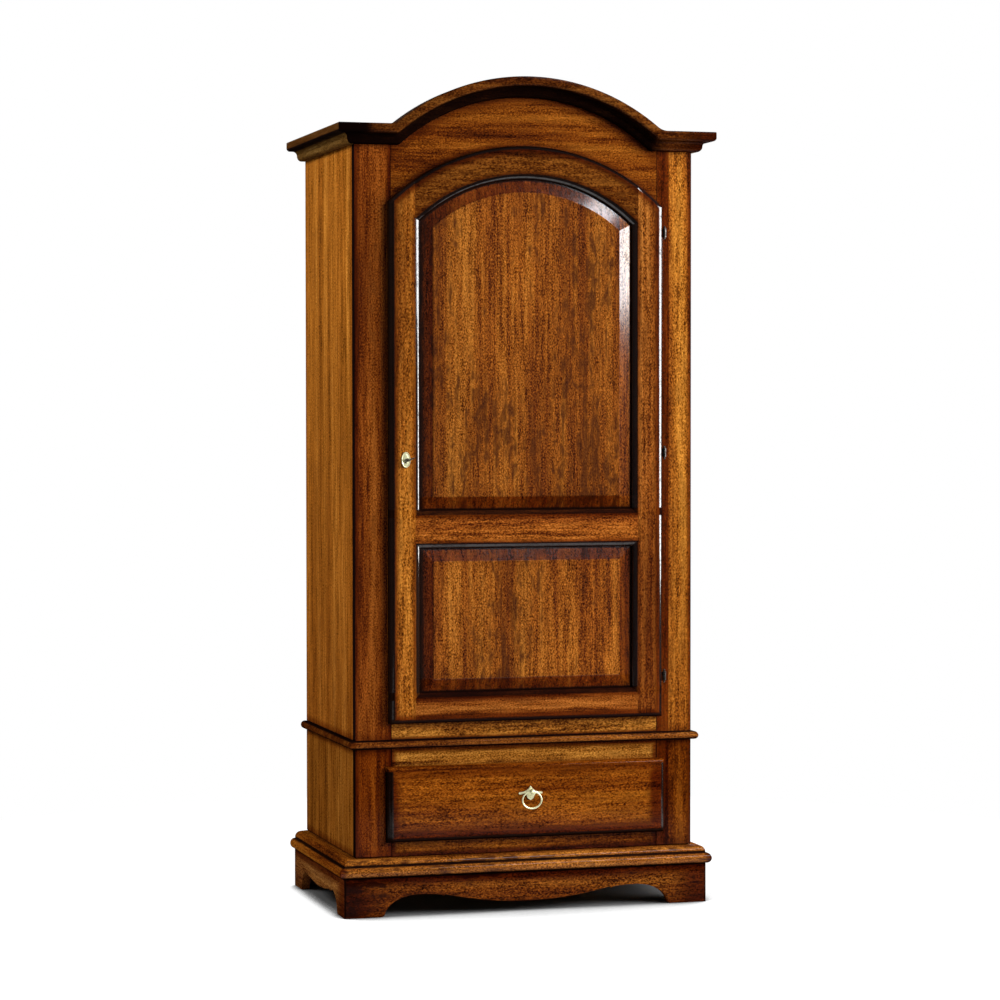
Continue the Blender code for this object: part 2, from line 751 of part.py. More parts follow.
def build_upper_case():
    for side, word in ((-1, "left"), (1, "right")):
        case_side("upper_side_" + word, side, z_upper_case, z_case_top)
        post = stile("upper_stile_" + word, side, z_upper_case, z_case_top)
        if side < 0:
            reach = (-opening_half - strike_depth, -opening_half + overrun)
            behind = (bolt_y - slide_clearance, bolt_y + bolt_thickness + slide_clearance)
            height = (bolt_top - bolt_height - slide_clearance, bolt_top + slide_clearance)
            cut(post, board("strike_mortise", reach, behind, height))
        else:
            x = hinge_x + hinge_frame_stud_offset
            for word_at, z in hinge_levels:
                level = z - hinge_knuckle_height / 2
                hole = rod("stile_hole_" + word_at, (x, -overrun, level),
                           (x, hinge_frame_stud_reach + hole_clearance, level),
                           hinge_stud_radius + hole_clearance)
                cut(post, hole)
        seat(post, wardrobe, wood, (side * case_half, 0, z_upper_case))
    front_rail("door_sill", z_upper_case, z_door_opening)

    end = opening_half - gap
    under = [(x, z) for x, z in door_opening.top(0.0) if abs(x) < end]
    angle_z = door_opening.corner(-gap)[1]
    below = cornice_cap_thickness + gap
    line = [(case_half, z_shoulder - below)] + cornice_top_line(below)
    over = [(x, z) for x, z in line if x < end]
    edge_z = [z for x, z in line if x >= end][-1]
    over = [(end, edge_z)] + over
    over += [(-x, z) for x, z in reversed(over[:-1])]
    outline = [(-end, angle_z)] + list(reversed(under)) + [(end, angle_z)] + over
    frieze = prism("frieze", outline, "Y", 0, stile_thickness)
    seat(frieze, wardrobe, wood, (0, 0, z_door_spring))

    back_panel("upper_back", z_upper_case, z_case_top)
    behind = stile_thickness + gap
    panel = y_back_panel - gap
    end = inner_half - gap
    floor_top = z_upper_case + upper_floor_thickness
    piece = board("upper_floor", (-end, end), (behind, panel), (z_upper_case, floor_top))
    seat(piece, wardrobe, inner_wood, (0, behind, z_upper_case))
    top = z_case_top - top_board_drop
    piece = board("top_board", (-end, end), (behind, panel), (top - top_board_thickness, top))
    seat(piece, wardrobe, inner_wood, (0, behind, top))

    shelf_z = z_upper_case + shelf_height
    front = behind + shelf_setback
    shelf = board("shelf", (-end, end), (front, panel), (shelf_z, shelf_z + shelf_thickness))
    seat(eased(shelf), wardrobe, inner_wood, (0, front, shelf_z))
    for side, word in ((-1, "left"), (1, "right")):
        x = sorted((side * end, side * (end - cleat_width)))
        y = (front + cleat_end_inset, panel - cleat_end_inset)
        cleat = board("shelf_cleat_" + word, x, y, (shelf_z - gap - cleat_height, shelf_z - gap))
        seat(eased(cleat), wardrobe, inner_wood, (side * end, front, shelf_z))

    rail_z = shelf_z - rail_drop
    rail_end = end - socket_flange_thickness - gap
    rail = rod("hanging_rail", (-rail_end, rail_depth, rail_z), (rail_end, rail_depth, rail_z), rail_radius)
    bore = rod("rail_bore", (-case_half, rail_depth, rail_z), (case_half, rail_depth, rail_z),
               rail_radius - rail_wall)
    cut(rail, bore)
    seat(smooth(rail), wardrobe, steel, (0, rail_depth, rail_z))
    cup_in = rail_radius + hole_clearance
    cup_out = cup_in + socket_cup_wall
    cup_top = socket_flange_thickness + socket_cup_depth
    profile = [(0, socket_flange_thickness), (cup_in, socket_flange_thickness), (cup_in, cup_top),
               (cup_out, cup_top), (cup_out, socket_flange_thickness),
               (socket_flange_radius, socket_flange_thickness), (socket_flange_radius, 0), (0, 0)]
    for side, word in ((-1, "left"), (1, "right")):
        place = (side * end, rail_depth, rail_z)
        socket = turned("rail_socket_" + word, profile, place, (-side, 0, 0))
        seat(smooth(socket), wardrobe, steel, place)


# Cornice: the front length carries the arch, coved into its shoulders, and is mitred to two side returns

def build_cornice():
    section = cornice_profile()
    lines = []
    for outward, down in section:
        right = [(case_half + outward, z_shoulder - down)] + cornice_top_line(down)
        left = [(-x, z) for x, z in reversed(right[:-1])]
        lines.append([(x, -outward, z) for x, z in right + left])
    rings = [[line[i] for line in lines] for i in range(len(lines[0]))]
    front = loft("cornice_front", rings)
    seat(smooth(front), wardrobe, wood, (0, 0, z_shoulder))
    for side, word in ((-1, "left"), (1, "right")):
        mitred = [
            (side * (case_half + outward), gap * math.sqrt(2) - outward, z_shoulder - down)
            for outward, down in section
        ]
        square = [(side * (case_half + outward), y_back, z_shoulder - down) for outward, down in section]
        piece = loft("cornice_" + word, [mitred, square])
        seat(smooth(piece), wardrobe, wood, (side * case_half, 0, z_shoulder))


# Door: the moulded blank is made once, its two panel openings are cut, and each frame member is the part of it
# between its own joint lines

sight_half = opening_half + lip_overlap - door_stile_width
z_lower_sight = door_low + door_bottom_rail_width
z_lower_sight_top = z_lower_sight + lower_panel_height
z_upper_sight = z_lower_sight_top + door_mid_rail_width
z_upper_sight_spring = door_corner - door_shoulder_width
upper_sight_rise = door_crown - door_top_rail_width - z_upper_sight_spring
upper_sight = Opening(sight_half, z_upper_sight, z_upper_sight_spring, upper_sight_rise)
lower_sight = Opening(sight_half, z_lower_sight, z_lower_sight_top)
sticking_width = sticking_step + sticking_round_width
sticking_depth = sticking_quirk + sticking_round_depth
groove_front = sticking_depth - door_front
groove_back = groove_front + groove_width


def sight_cutter(name, opening):
    """What is taken out of the blank for one panel: the sticking's profile, the groove and the back of the opening."""
    steps = [(0.0, -door_front - overrun), (0.0, sticking_quirk - door_front)]
    for across, deep in arc((0, 0), sticking_round_width, sticking_round_depth, 90, 0, round_steps):
        steps.append((-sticking_step - across, groove_front - deep))
    groove_out = groove_depth - sticking_width
    steps += [(groove_out, groove_front), (groove_out, groove_back)]
    steps += [(-sticking_width, groove_back), (-sticking_width, tongue_depth + overrun)]
    return loft(name, opening.rings(steps))


def door_joints():
    """The outlines of the five frame members. The joints run straight across the faces and on a mitre through
    the sticking."""
    s = sight_half
    m = 2 * sticking_width
    outer = opening_half + lip_overlap + overrun
    low = door_low - overrun
    high = door_crown + overrun
    arch_in = upper_sight.corner(-m)
    arch_at = upper_sight.corner(0.0)
    right = [
        (outer, low), (outer, high), (s, high), arch_at, arch_in,
        (s - m, z_upper_sight + m), (s, z_upper_sight), (s, z_lower_sight_top), (s - m, z_lower_sight_top - m),
        (s - m, z_lower_sight + m), (s, z_lower_sight), (s, low),
    ]
    left = [(-x, z) for x, z in reversed(right)]
    bottom = [(-s, low), (s, low), (s, z_lower_sight), (s - m, z_lower_sight + m),
              (m - s, z_lower_sight + m), (-s, z_lower_sight)]
    middle = [(m - s, z_lower_sight_top - m), (s - m, z_lower_sight_top - m), (s, z_lower_sight_top),
              (s, z_upper_sight), (s - m, z_upper_sight + m), (m - s, z_upper_sight + m),
              (-s, z_upper_sight), (-s, z_lower_sight_top)]
    top = [(-arch_in[0], arch_in[1]), arch_in, arch_at, (s, high), (-s, high), (-s, arch_at[1])]
    return (("door_stile_left", left), ("door_stile_right", right), ("door_rail_bottom", bottom),
            ("door_rail_middle", middle), ("door_rail_top", top))


def keyhole(name, low, high):
    """The cutter for a keyhole: a round hole for the shank and a slot below it for the bit."""
    hole = rod(name, (key_x, low, key_z), (key_x, high, key_z), key_radius + keyhole_clearance)
    half = keyhole_slot_width / 2
    reach = key_radius + key_bit_length + slide_clearance
    slot = board(name + "_slot", (key_x - half, key_x + half), (low, high), (key_z - reach, key_z))
    return join(hole, slot)


def build_door(door):
    blank = loft("door_blank", door_opening.rings(edge_profile(lip_overlap, -tongue_clearance)))
    cut(blank, sight_cutter("upper_sight", upper_sight), sight_cutter("lower_sight", lower_sight))
    for name, outline in door_joints():
        member = bpy.data.objects.new(name, blank.data.copy())
        collection.objects.link(member)
        region = prism(name + "_region", inset(outline, gap / 2), "Y", -door_front - overrun, tongue_depth + overrun)
        keep(member, region)
        if name == "door_stile_left":
            cut(member, keyhole("stile_keyhole", -door_front - overrun, tongue_depth + overrun))
        if name == "door_stile_right":
            depth = -hinge_door_stud_depth
            for word, z in hinge_levels:
                level = z + hinge_knuckle_height / 2
                hole = rod("door_hole_" + word, (hinge_x, depth, level),
                           (hinge_x - hinge_door_stud_reach - hole_clearance, depth, level),
                           hinge_stud_radius + hole_clearance)
                cut(member, hole)
        seat(member, door, wood, (hinge_x, hinge_y, door_low))
    guide(blank)

    tongue_out = groove_depth - panel_clearance - sticking_width
    front = groove_front + gap
    steps = [
        (tongue_out, groove_back - gap), (tongue_out, front), (-sticking_width, front),
        (-sticking_width - bevel_width, front - bevel_rise),
        (-sticking_width - bevel_width - field_step_run, front - bevel_rise - field_step),
    ]
    for name, opening in (("door_panel_upper", upper_sight), ("door_panel_lower", lower_sight)):
        panel = loft(name, opening.rings(steps))
        seat(panel, door, wood, (0, front, opening.bottom))


# Barrel hinges: the lower knuckle with its pin is screwed into the case stile, the upper one into the door's edge

def build_hinges(door):
    r = hinge_radius
    h = hinge_knuckle_height
    ball = arc((0, 0), hinge_finial_radius, hinge_finial_radius, 90, -55, 2 * round_steps)
    neck = (hinge_neck_radius, h + hinge_neck_height)
    ball_low = neck[1] - ball[-1][1]
    crown = [(abs(x), y + ball_low) for x, y in ball[:-1]]
    crown[0] = (0, crown[0][1])
    top = crown + [neck, (hinge_neck_radius, h), (r, h)]
    bore = hinge_pin_radius + hinge_bore_clearance
    upper = top + [(r, gap), (bore, gap), (bore, hinge_pin_height + gap), (0, hinge_pin_height + gap)]
    lower = [(0, hinge_pin_height), (hinge_pin_radius, hinge_pin_height), (hinge_pin_radius, 0), (r, 0)]
    lower += [(x, -y) for x, y in reversed(top)]
    for word, z in hinge_levels:
        place = (hinge_x, hinge_y, z)
        knuckle = turned("hinge_" + word + "_door", upper, place)
        level = z + h / 2
        depth = -hinge_door_stud_depth
        root = hinge_x - hinge_pin_radius - hole_clearance * 2
        stud = rod("door_stud_" + word, (root, depth, level), (hinge_x - hinge_door_stud_reach, depth, level),
                   hinge_stud_radius, turned_steps // 2)
        seat(smooth(join(knuckle, stud)), door, dark_metal, place)
        knuckle = turned("hinge_" + word + "_frame", lower, place)
        level = z - h / 2
        x = hinge_x + hinge_frame_stud_offset
        stud = rod("frame_stud_" + word, (x, hinge_y, level), (x, hinge_frame_stud_reach, level),
                   hinge_stud_radius, turned_steps // 2)
        seat(smooth(join(knuckle, stud)), wardrobe, dark_metal, place)


# Lock on the back of the door: case, sliding bolt with a talon, key and escutcheon

def build_lock(door):
    back = tongue_depth + gap
    left = bolt_nose
    case = board("lock_case", (left, left + lock_case_length), (back, back + lock_case_depth),
                 (key_z - lock_case_height / 2, key_z + lock_case_height / 2))
    channel_end = bolt_nose + bolt_length + slide_clearance
    channel = board("bolt_channel", (left - overrun, channel_end),
                    (bolt_y - gap, bolt_y + bolt_thickness + gap),
                    (bolt_top - bolt_height - gap, bolt_top + gap))
    chamber_radius = key_radius + key_bit_length + slide_clearance
    chamber_end = bolt_y + bolt_thickness + gap
    chamber = rod("key_chamber", (key_x, back - overrun, key_z), (key_x, chamber_end, key_z), chamber_radius)
    pivot_end = back + lock_case_depth - slide_clearance
    pivot = rod("key_pivot", (key_x, back, key_z), (key_x, pivot_end, key_z), key_radius + hole_clearance)
    cut(case, channel, chamber, pivot)
    seat(case, door, steel, (left, back, key_z))

    bolt = board("lock_bolt", (bolt_nose, bolt_nose + bolt_length), (bolt_y, bolt_y + bolt_thickness),
                 (bolt_top - bolt_height, bolt_top))
    talon = board("talon", (key_x - talon_lead, key_x + talon_trail), (bolt_y - overrun, bolt_y + overrun),
                  (bolt_top - talon_depth, bolt_top + overrun))
    cut(bolt, talon)
    seat(bolt, door, nickel, (bolt_nose, bolt_y, bolt_top))

    tip = -door_front - key_reach
    shank = rod("key", (key_x, tip + key_bow_length, key_z), (key_x, pivot_end - hole_clearance, key_z), key_radius)
    collar_at = tip + key_bow_length
    collar = rod("key_collar", (key_x, collar_at, key_z), (key_x, collar_at + key_collar_length, key_z),
                 key_collar_radius)
    bit = board("key_bit", (key_x - key_bit_width / 2, key_x + key_bit_width / 2),
                (bolt_y + slide_clearance, bolt_y + slide_clearance + key_bit_thickness),
                (key_z - key_radius - key_bit_length, key_z))
    bow = key_bow("key_bow", tip)
    join(shank, collar, bit, bow)
    seat(smooth(shank), door, nickel, (key_x, 0, key_z))

    half_w, half_h = escutcheon_half_width, escutcheon_half_height
    front = -door_front - gap
    rings = []
    rim, thick = escutcheon_rim, escutcheon_thickness
    for inset_by, lift in ((0, 0), (0, thick / 2), (rim / 4, thick), (rim * 3 / 4, thick), (rim, thick / 2),
                           (rim * 3 / 2, thick * 3 / 4), (rim * 5 / 2, thick * 9 / 10)):
        oval = arc((key_x, key_z), half_w - inset_by, half_h - inset_by, 0, 360, oval_steps)[:-1]
        rings.append([(x, front - lift, z) for x, z in oval])
    plate = loft("escutcheon", rings)
    cut(plate, keyhole("plate_keyhole", front - overrun, front + overrun))
    seat(plate, door, nickel, (key_x, front, key_z))


def key_bow(name, tip):
    """The key's bow: a flat heart-shaped loop of round wire, whose point meets the shank, tilted a little."""
    reach = key_bow_length - key_bow_wire
    points = []
    for i in range(oval_steps):
        angle = 2 * math.pi * i / oval_steps
        across = key_bow_half_width - key_bow_wire
        wide = across * math.sin(angle) * (1 + math.cos(angle)) / (3 * math.sqrt(3) / 4)
        along = reach * (1 - math.cos(angle / 2 if angle < math.pi else math.pi - angle / 2)) / 1
        points.append((wide, along))
    return wire_loop(name, points, tip)


def wire_loop(name, points, tip):
    tilt = math.pi * key_bow_tilt_share
    curve = bpy.data.curves.new(name, "CURVE")
    curve.dimensions = "3D"
    curve.bevel_depth = key_bow_wire
    curve.bevel_resolution = 1
    spline = curve.splines.new("POLY")
    spline.use_cyclic_u = True
    spline.points.add(len(points) - 1)
    for point, (wide, along) in zip(spline.points, points):
        point.co = (
            key_x + wide * math.cos(tilt), tip + key_bow_wire + along, key_z + wide * math.sin(tilt), 1
        )
    return meshed(name, curve)


def meshed(name, curve):
    """A curve's tube as a mesh object, with its seams welded."""
    guide_curve = bpy.data.objects.new(name + "_curve", curve)
    cutters.objects.link(guide_curve)
    bpy.context.view_layer.update()
    mesh = bpy.data.meshes.new_from_object(guide_curve.evaluated_get(bpy.context.evaluated_depsgraph_get()))
    bpy.data.objects.remove(guide_curve, do_unlink=True)
    bm = bmesh.new()
    bm.from_mesh(mesh)
    bmesh.ops.remove_doubles(bm, verts=bm.verts[:], dist=gap / 100)
    return object_from(bm, name, collection)


# Drawer: lipped front, two grooved sides, a back that stands on the bottom, and the bottom panel

drawer_z = z_drawer_opening + tongue_clearance
drawer_half = opening_half - tongue_clearance
drawer_middle = (z_drawer_opening + z_drawer_opening_top) / 2
pull_x = pull_side_offset
pull_z = drawer_middle + pull_eye_height


def build_drawer(drawer):
    lip_difference = drawer_lip_side - drawer_lip_ends
    front_opening = Opening(opening_half + lip_difference, z_drawer_opening, z_drawer_opening_top)
    steps = edge_profile(drawer_lip_ends, -tongue_clearance)
    rings = []
    for number, (out, y) in enumerate(steps):
        opening = front_opening if number > 1 else Opening(opening_half, z_drawer_opening, z_drawer_opening_top)
        rings.append([(x, y, z) for x, z in opening.outline(out)])
    front = loft("drawer_front", rings)
    hole = rod("pull_hole", (pull_x, -door_front - overrun, pull_z), (pull_x, tongue_depth + overrun, pull_z),
               pull_bolt_radius + hole_clearance)
    cut(front, hole)
    seat(front, drawer, wood, (0, 0, drawer_z))

    start = tongue_depth + gap
    end = start + drawer_box_length
    bottom_z = drawer_z + drawer_bottom_height
    bottom_top = bottom_z + drawer_bottom_thickness
    tongue_top = bottom_z + drawer_tongue_thickness
    inner = drawer_half - drawer_side_thickness
    groove = inner + drawer_groove_depth
    for side, word in ((-1, "left"), (1, "right")):
        outline = [
            (side * drawer_half, drawer_z), (side * drawer_half, drawer_z + drawer_side_height),
            (side * inner, drawer_z + drawer_side_height), (side * inner, tongue_top + gap),
            (side * groove, tongue_top + gap), (side * groove, bottom_z - gap),
            (side * inner, bottom_z - gap), (side * inner, drawer_z),
        ]
        piece = prism("drawer_side_" + word, outline, "Y", start, end)
        seat(piece, drawer, inner_wood, (side * drawer_half, start, drawer_z))
    tongue, field = groove - gap, inner - gap
    outline = [(-tongue, bottom_z), (tongue, bottom_z), (tongue, tongue_top), (field, tongue_top),
               (field, bottom_top), (-field, bottom_top), (-field, tongue_top), (-tongue, tongue_top)]
    piece = prism("drawer_bottom", outline, "Y", start, end)
    back_face = end - drawer_side_thickness
    rebate = board("bottom_rebate", (-inner, inner), (back_face - gap, end + overrun),
                   (tongue_top, bottom_top + overrun))
    cut(piece, rebate)
    seat(piece, drawer, inner_wood, (0, start, bottom_z))
    top = drawer_z + drawer_side_height - drawer_back_drop
    piece = board("drawer_back", (-field, field), (back_face, end), (tongue_top + gap, top))
    seat(eased(piece), drawer, inner_wood, (0, end, tongue_top))


# Ring pull: a pointed plate cast in one with its bolt and its pierced knob, and a ring that hangs in the eye

pull_outline_shares = ((0.0, 1.0), (0.07, 0.90), (0.16, 0.80), (0.33, 0.68), (0.61, 0.575), (0.80, 0.565),
                       (0.90, 0.56), (0.98, 0.52), (1.0, 0.47), (0.95, 0.42), (0.86, 0.405), (0.74, 0.43),
                       (0.56, 0.46), (0.42, 0.43), (0.34, 0.36), (0.30, 0.24), (0.22, 0.12), (0.10, 0.05),
                       (0.0, 0.0))


def build_pull(drawer):
    front = -door_front - gap
    low = pull_z - pull_plate_height * pull_plate_eye_share
    half = [(pull_plate_half_width * x, low + pull_plate_height * z) for x, z in pull_outline_shares]
    outline = [(pull_x + x, z) for x, z in half] + [(pull_x - x, z) for x, z in reversed(half[1:-1])]
    plate = prism("pull_plate", outline, "Y", front - pull_plate_thickness, front)
    bm = bmesh.new()
    bmesh.ops.create_uvsphere(bm, u_segments=turned_steps, v_segments=turned_steps // 2, radius=pull_eye_radius)
    eye_y = front - pull_eye_reach
    bmesh.ops.translate(bm, verts=bm.verts[:], vec=(pull_x, eye_y, pull_z))
    knob = object_from(bm, "pull_knob", collection)
    root = front - pull_plate_thickness / 2
    behind = tongue_depth + gap
    post = rod("pull_post", (pull_x, eye_y, pull_z), (pull_x, root, pull_z), pull_post_radius)
    bolt = rod("pull_bolt", (pull_x, root, pull_z), (pull_x, behind + pull_nut_thickness / 2, pull_z),
               pull_bolt_radius, turned_steps // 2)
    nut = rod("pull_nut", (pull_x, behind, pull_z), (pull_x, behind + pull_nut_thickness, pull_z),
              pull_nut_radius, 6)
    join(plate, post, knob, bolt, nut)
    reach = pull_eye_radius + overrun
    cut(plate, rod("pull_eye", (pull_x - reach, eye_y, pull_z), (pull_x + reach, eye_y, pull_z), pull_eye_hole))
    seat(smooth(plate), drawer, nickel, (pull_x, front, pull_z))

    curve = bpy.data.curves.new("pull_ring", "CURVE")
    curve.dimensions = "3D"
    curve.bevel_depth = ring_wire_radius
    curve.bevel_resolution = 2
    spline = curve.splines.new("POLY")
    spline.use_cyclic_u = True
    middle = (pull_x, pull_z - ring_half_height)
    points = arc(middle, ring_half_width, ring_half_height, 90, 450, ring_steps)[:-1]
    spline.points.add(len(points) - 1)
    for point, (x, z) in zip(spline.points, points):
        point.co = (x, eye_y, z, 1)
    ring = meshed("pull_ring", curve)
    seat(smooth(ring), drawer, nickel, (pull_x, eye_y, pull_z))


build_plinth()
build_base_frame()
build_base_case()
build_waist()
build_upper_case()
build_cornice()
door_group = group("door_swing_axis", (hinge_x, hinge_y, door_low), wardrobe)
build_door(door_group)
build_hinges(door_group)
build_lock(door_group)
drawer_group = group("drawer_slide_line", (0, 0, drawer_z), wardrobe)
build_drawer(drawer_group)
build_pull(drawer_group)
for tool_object in cutters.objects:
    tool_object.parent = wardrobe
bpy.context.view_layer.update()
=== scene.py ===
import math

import bmesh
import bpy
import numpy as np
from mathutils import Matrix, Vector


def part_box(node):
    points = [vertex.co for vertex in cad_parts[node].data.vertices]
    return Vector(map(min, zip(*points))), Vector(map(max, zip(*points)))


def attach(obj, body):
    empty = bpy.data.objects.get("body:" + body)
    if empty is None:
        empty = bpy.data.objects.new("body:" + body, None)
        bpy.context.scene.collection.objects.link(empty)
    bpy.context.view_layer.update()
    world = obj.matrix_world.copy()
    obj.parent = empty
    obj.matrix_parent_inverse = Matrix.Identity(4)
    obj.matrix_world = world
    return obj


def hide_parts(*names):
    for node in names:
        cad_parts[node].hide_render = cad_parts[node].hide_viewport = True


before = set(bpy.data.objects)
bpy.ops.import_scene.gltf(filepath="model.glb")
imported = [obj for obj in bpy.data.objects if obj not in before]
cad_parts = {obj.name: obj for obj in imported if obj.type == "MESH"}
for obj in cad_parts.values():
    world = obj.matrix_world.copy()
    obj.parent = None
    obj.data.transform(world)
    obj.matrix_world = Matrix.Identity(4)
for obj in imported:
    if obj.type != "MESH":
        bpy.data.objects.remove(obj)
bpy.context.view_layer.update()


# Plinth. The wardrobe stands on walnut-stained aprons with scroll arches sawn into their lower edges. The front
# apron is mitred to the two side ones, and a plain dark board on two feet closes the back.

class Value:
    """A socket in a recipe's node tree. Sums on it add Math nodes."""

    def __init__(self, recipe, socket):
        self.recipe = recipe
        self.socket = socket

    def math(self, operation, *others):
        return self.recipe.node("Math", {"operation": operation}, dict(enumerate((self, *others))))

    def __add__(self, other):
        return self.math("ADD", other)

    def __sub__(self, other):
        return self.math("SUBTRACT", other)

    def __mul__(self, other):
        return self.math("MULTIPLY", other)

    def __rsub__(self, other):
        return self.recipe.node("Math", {"operation": "SUBTRACT"}, {0: other, 1: self})

    __radd__ = __add__
    __rmul__ = __mul__

    def root(self):
        return self.math("SQRT")

    def size(self):
        return self.math("ABSOLUTE")

    def least(self, other):
        return self.math("MINIMUM", other)

    def most(self, other):
        return self.math("MAXIMUM", other)

    def rise(self, low, high, to_low=0.0, to_high=1.0):
        """Goes smoothly from one level to another as this value goes from low to high."""
        settings = {"interpolation_type": "SMOOTHSTEP"}
        return self.recipe.node("MapRange", settings, {0: self, 1: low, 2: high, 3: to_low, 4: to_high})


class Recipe:
    """A node tree being made, with the one way to add a node to it."""

    def __init__(self, tree):
        self.tree = tree

    def node(self, kind, settings, inputs, output=0):
        """Adds a node of a kind, gives it its settings and then its sockets' values or links."""
        made = self.tree.nodes.new("ShaderNode" + kind)
        for name, value in settings.items():
            if name == "stops":
                ramp = made.color_ramp.elements
                while len(ramp) < len(value):
                    ramp.new(0.5)
                for stop, (place, colour) in zip(ramp, value):
                    stop.position, stop.color = place, (*colour, 1.0)
            else:
                setattr(made, name, value)
        self.feed(made, inputs)
        return Value(self, made.outputs[output])

    def feed(self, made, inputs):
        for name, value in inputs.items():
            if isinstance(value, Value):
                self.tree.links.new(value.socket, made.inputs[name])
            elif isinstance(value, tuple) and len(value) == 3 and made.inputs[name].type == "RGBA":
                made.inputs[name].default_value = (*value, 1.0)
            else:
                made.inputs[name].default_value = value

    def parts(self, vector):
        """The three numbers of a vector."""
        apart = self.tree.nodes.new("ShaderNodeSeparateXYZ")
        self.tree.links.new(vector.socket, apart.inputs[0])
        return [Value(self, socket) for socket in apart.outputs]

    def blend(self, share, first, second, kind="MIX"):
        """Mixes two colours."""
        settings = {"data_type": "RGBA", "blend_type": kind}
        return self.node("Mix", settings, {0: share, 6: first, 7: second}, output=2)


class Finish(Recipe):
    """A material being made."""

    def __init__(self, name):
        self.material = bpy.data.materials.new(name)
        self.material.use_nodes = True
        super().__init__(self.material.node_tree)
        self.surface = self.tree.nodes["Principled BSDF"]

    def place(self):
        """The point on the piece in metres, as a vector."""
        return self.node("TexCoord", {}, {}, output="Object")

    def noise(self, point, scales, shift, detail=2.0, roughness=0.5, distortion=0.0):
        """Noise around 0 whose scale differs by axis, moved so that each board shows another part of it."""
        vector = self.node("VectorMath", {"operation": "MULTIPLY_ADD"}, {0: point, 1: scales, 2: shift})
        inputs = {"Vector": vector, "Scale": 1.0, "Detail": detail, "Roughness": roughness,
                  "Distortion": distortion}
        return self.node("TexNoise", {"noise_dimensions": "3D"}, inputs) - 0.5


def srgb(red, green, blue):
    """A screen colour from 0 to 255 as the linear colour that shader sockets take."""
    channels = np.array([red, green, blue]) / 255
    return tuple(np.where(channels < 0.04045, channels / 12.92, ((channels + 0.055) / 1.055) ** 2.4).tolist())


walnut_tones = ((0.12, srgb(74, 30, 8)), (0.38, srgb(118, 56, 14)), (0.60, srgb(154, 84, 22)),
                (0.88, srgb(190, 118, 38)))
mottle_colour = srgb(74, 34, 9)
darkest_fleck = 0.08
# The patina tint and the glaze colour paint the boards' patina and glaze, and also painted shade.
patina_and_shade_tint = (0.34, 0.18, 0.15)
glaze_and_shade_colour = srgb(20, 9, 5)
full_glaze = 0.97
thinnest_lacquer = 0.05


def stained_walnut(name, grain, seed, tones=walnut_tones, tint=(1.0, 1.0, 1.0), patina=None, glaze=None,
                   figure=1.0, gloss=0.23, glaze_gloss=0.0, shine=None):
    """Walnut-stained wood under lacquer, with its grain along one axis.

    Streaks, bands, lines, clouds and pores are noises drawn out along the grain. Their sum picks the colour from
    the stain's tones. Mottles, stronger with more figure, blend it towards a dark brown, and flecks, which are
    mostly pores, make it lighter and darker. Patina reddens and glaze blackens where they are asked for, as masks
    from 0 to 1 worked out from the board's own outline. Some of these masks paint shade, and some take patina and
    glaze away to paint light, as said where each is made. The lacquer is as thick as gloss says on the wood and as
    glaze_gloss says on the glaze, less where the shine mask is below 1, and broken where pores and clouds are low.
    """
    wood = Finish(name)
    point = wood.place()
    axes = wood.parts(point)
    shift = (7.3 * seed % 11.0, 3.7 * seed % 13.0, 5.1 * seed % 17.0)

    def drawn_out(across, along, **more):
        """Noise with about so many lumps to the metre across the grain and along it."""
        scales = [across] * 3
        scales["XYZ".index(grain)] = along
        return wood.noise(point, tuple(scales), shift, **more)

    streaks = drawn_out(20.0, 0.7, distortion=0.3)
    bands = drawn_out(64.0, 3.4, detail=2.0, roughness=0.6)
    lines = drawn_out(160.0, 9.0, roughness=0.6)
    clusters = drawn_out(4.5, 2.0, detail=1.0)
    clouds = drawn_out(60.0, 22.0, detail=4.0, roughness=0.7, distortion=0.4)
    pores = drawn_out(340.0, 190.0, detail=1.0)
    tone = 0.57 + streaks * 1.10 + bands * 0.70 + lines * 0.50 + clouds * 0.45 + pores * 0.6
    colour = wood.node("ValToRGB", {"stops": tones}, {0: tone})
    mottles = (clouds + clusters * 0.6 + bands * 0.7 + pores * 0.3).rise(0.03, 0.22) * (0.50 * figure)
    colour = wood.blend(mottles, colour, mottle_colour)
    fleck = 0.70 + pores * (1.35 + 0.45 * figure) + lines * 0.6 + bands * 0.8 + clouds * 0.8
    colour = wood.blend(1.0, colour, fleck.most(darkest_fleck), "MULTIPLY")
    thickness = gloss
    if patina is not None:
        worn = (patina(*axes) * (1.0 + pores * 1.2) + clouds * 0.4).rise(0.04, 1.0)
        colour = wood.blend(worn, colour, wood.blend(1.0, colour, patina_and_shade_tint, "MULTIPLY"))
    if glaze is not None:
        dark = (glaze(*axes) * (1.0 + clouds * 0.8)).rise(0.0, 0.9, 0.0, full_glaze)
        colour = wood.blend(dark, colour, glaze_and_shade_colour)
        if glaze_gloss != gloss:
            thickness = dark * (glaze_gloss - gloss) + gloss
    if shine is not None:
        thickness = shine(*axes) * thickness
    if gloss or glaze_gloss:
        thickness = (0.90 + pores * 2.2 + clouds * 1.8).least(1.0).most(thinnest_lacquer) * thickness
    height = lines * 0.4 + pores * 0.5 + clouds * 0.9
    wood.feed(wood.surface, {
        "Base Color": wood.blend(1.0, colour, tint, "MULTIPLY"), "Roughness": 0.45, "Specular IOR Level": 0.0,
        "Coat Weight": thickness, "Coat IOR": 1.6, "Coat Roughness": 0.10,
        "Normal": wood.node("Bump", {}, {"Strength": 0.22, "Distance": 0.0006, "Height": height})})
    return wood.material


def edges(node, *sides, width=0.018):
    """A mask that is 1 on the named sides of a board, such as x_low, and falls to 0 a width further in."""
    low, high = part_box(node)

    def mask(x, y, z):
        found = None
        for side in sides:
            axis = "xyz".index(side[0])
            here = (x, y, z)[axis]
            gap = here - low[axis] if side.endswith("low") else high[axis] - here
            shade = gap.rise(0.0, width, 1.0, 0.0)
            found = shade if found is None else found.most(shade)
        return found
    return mask


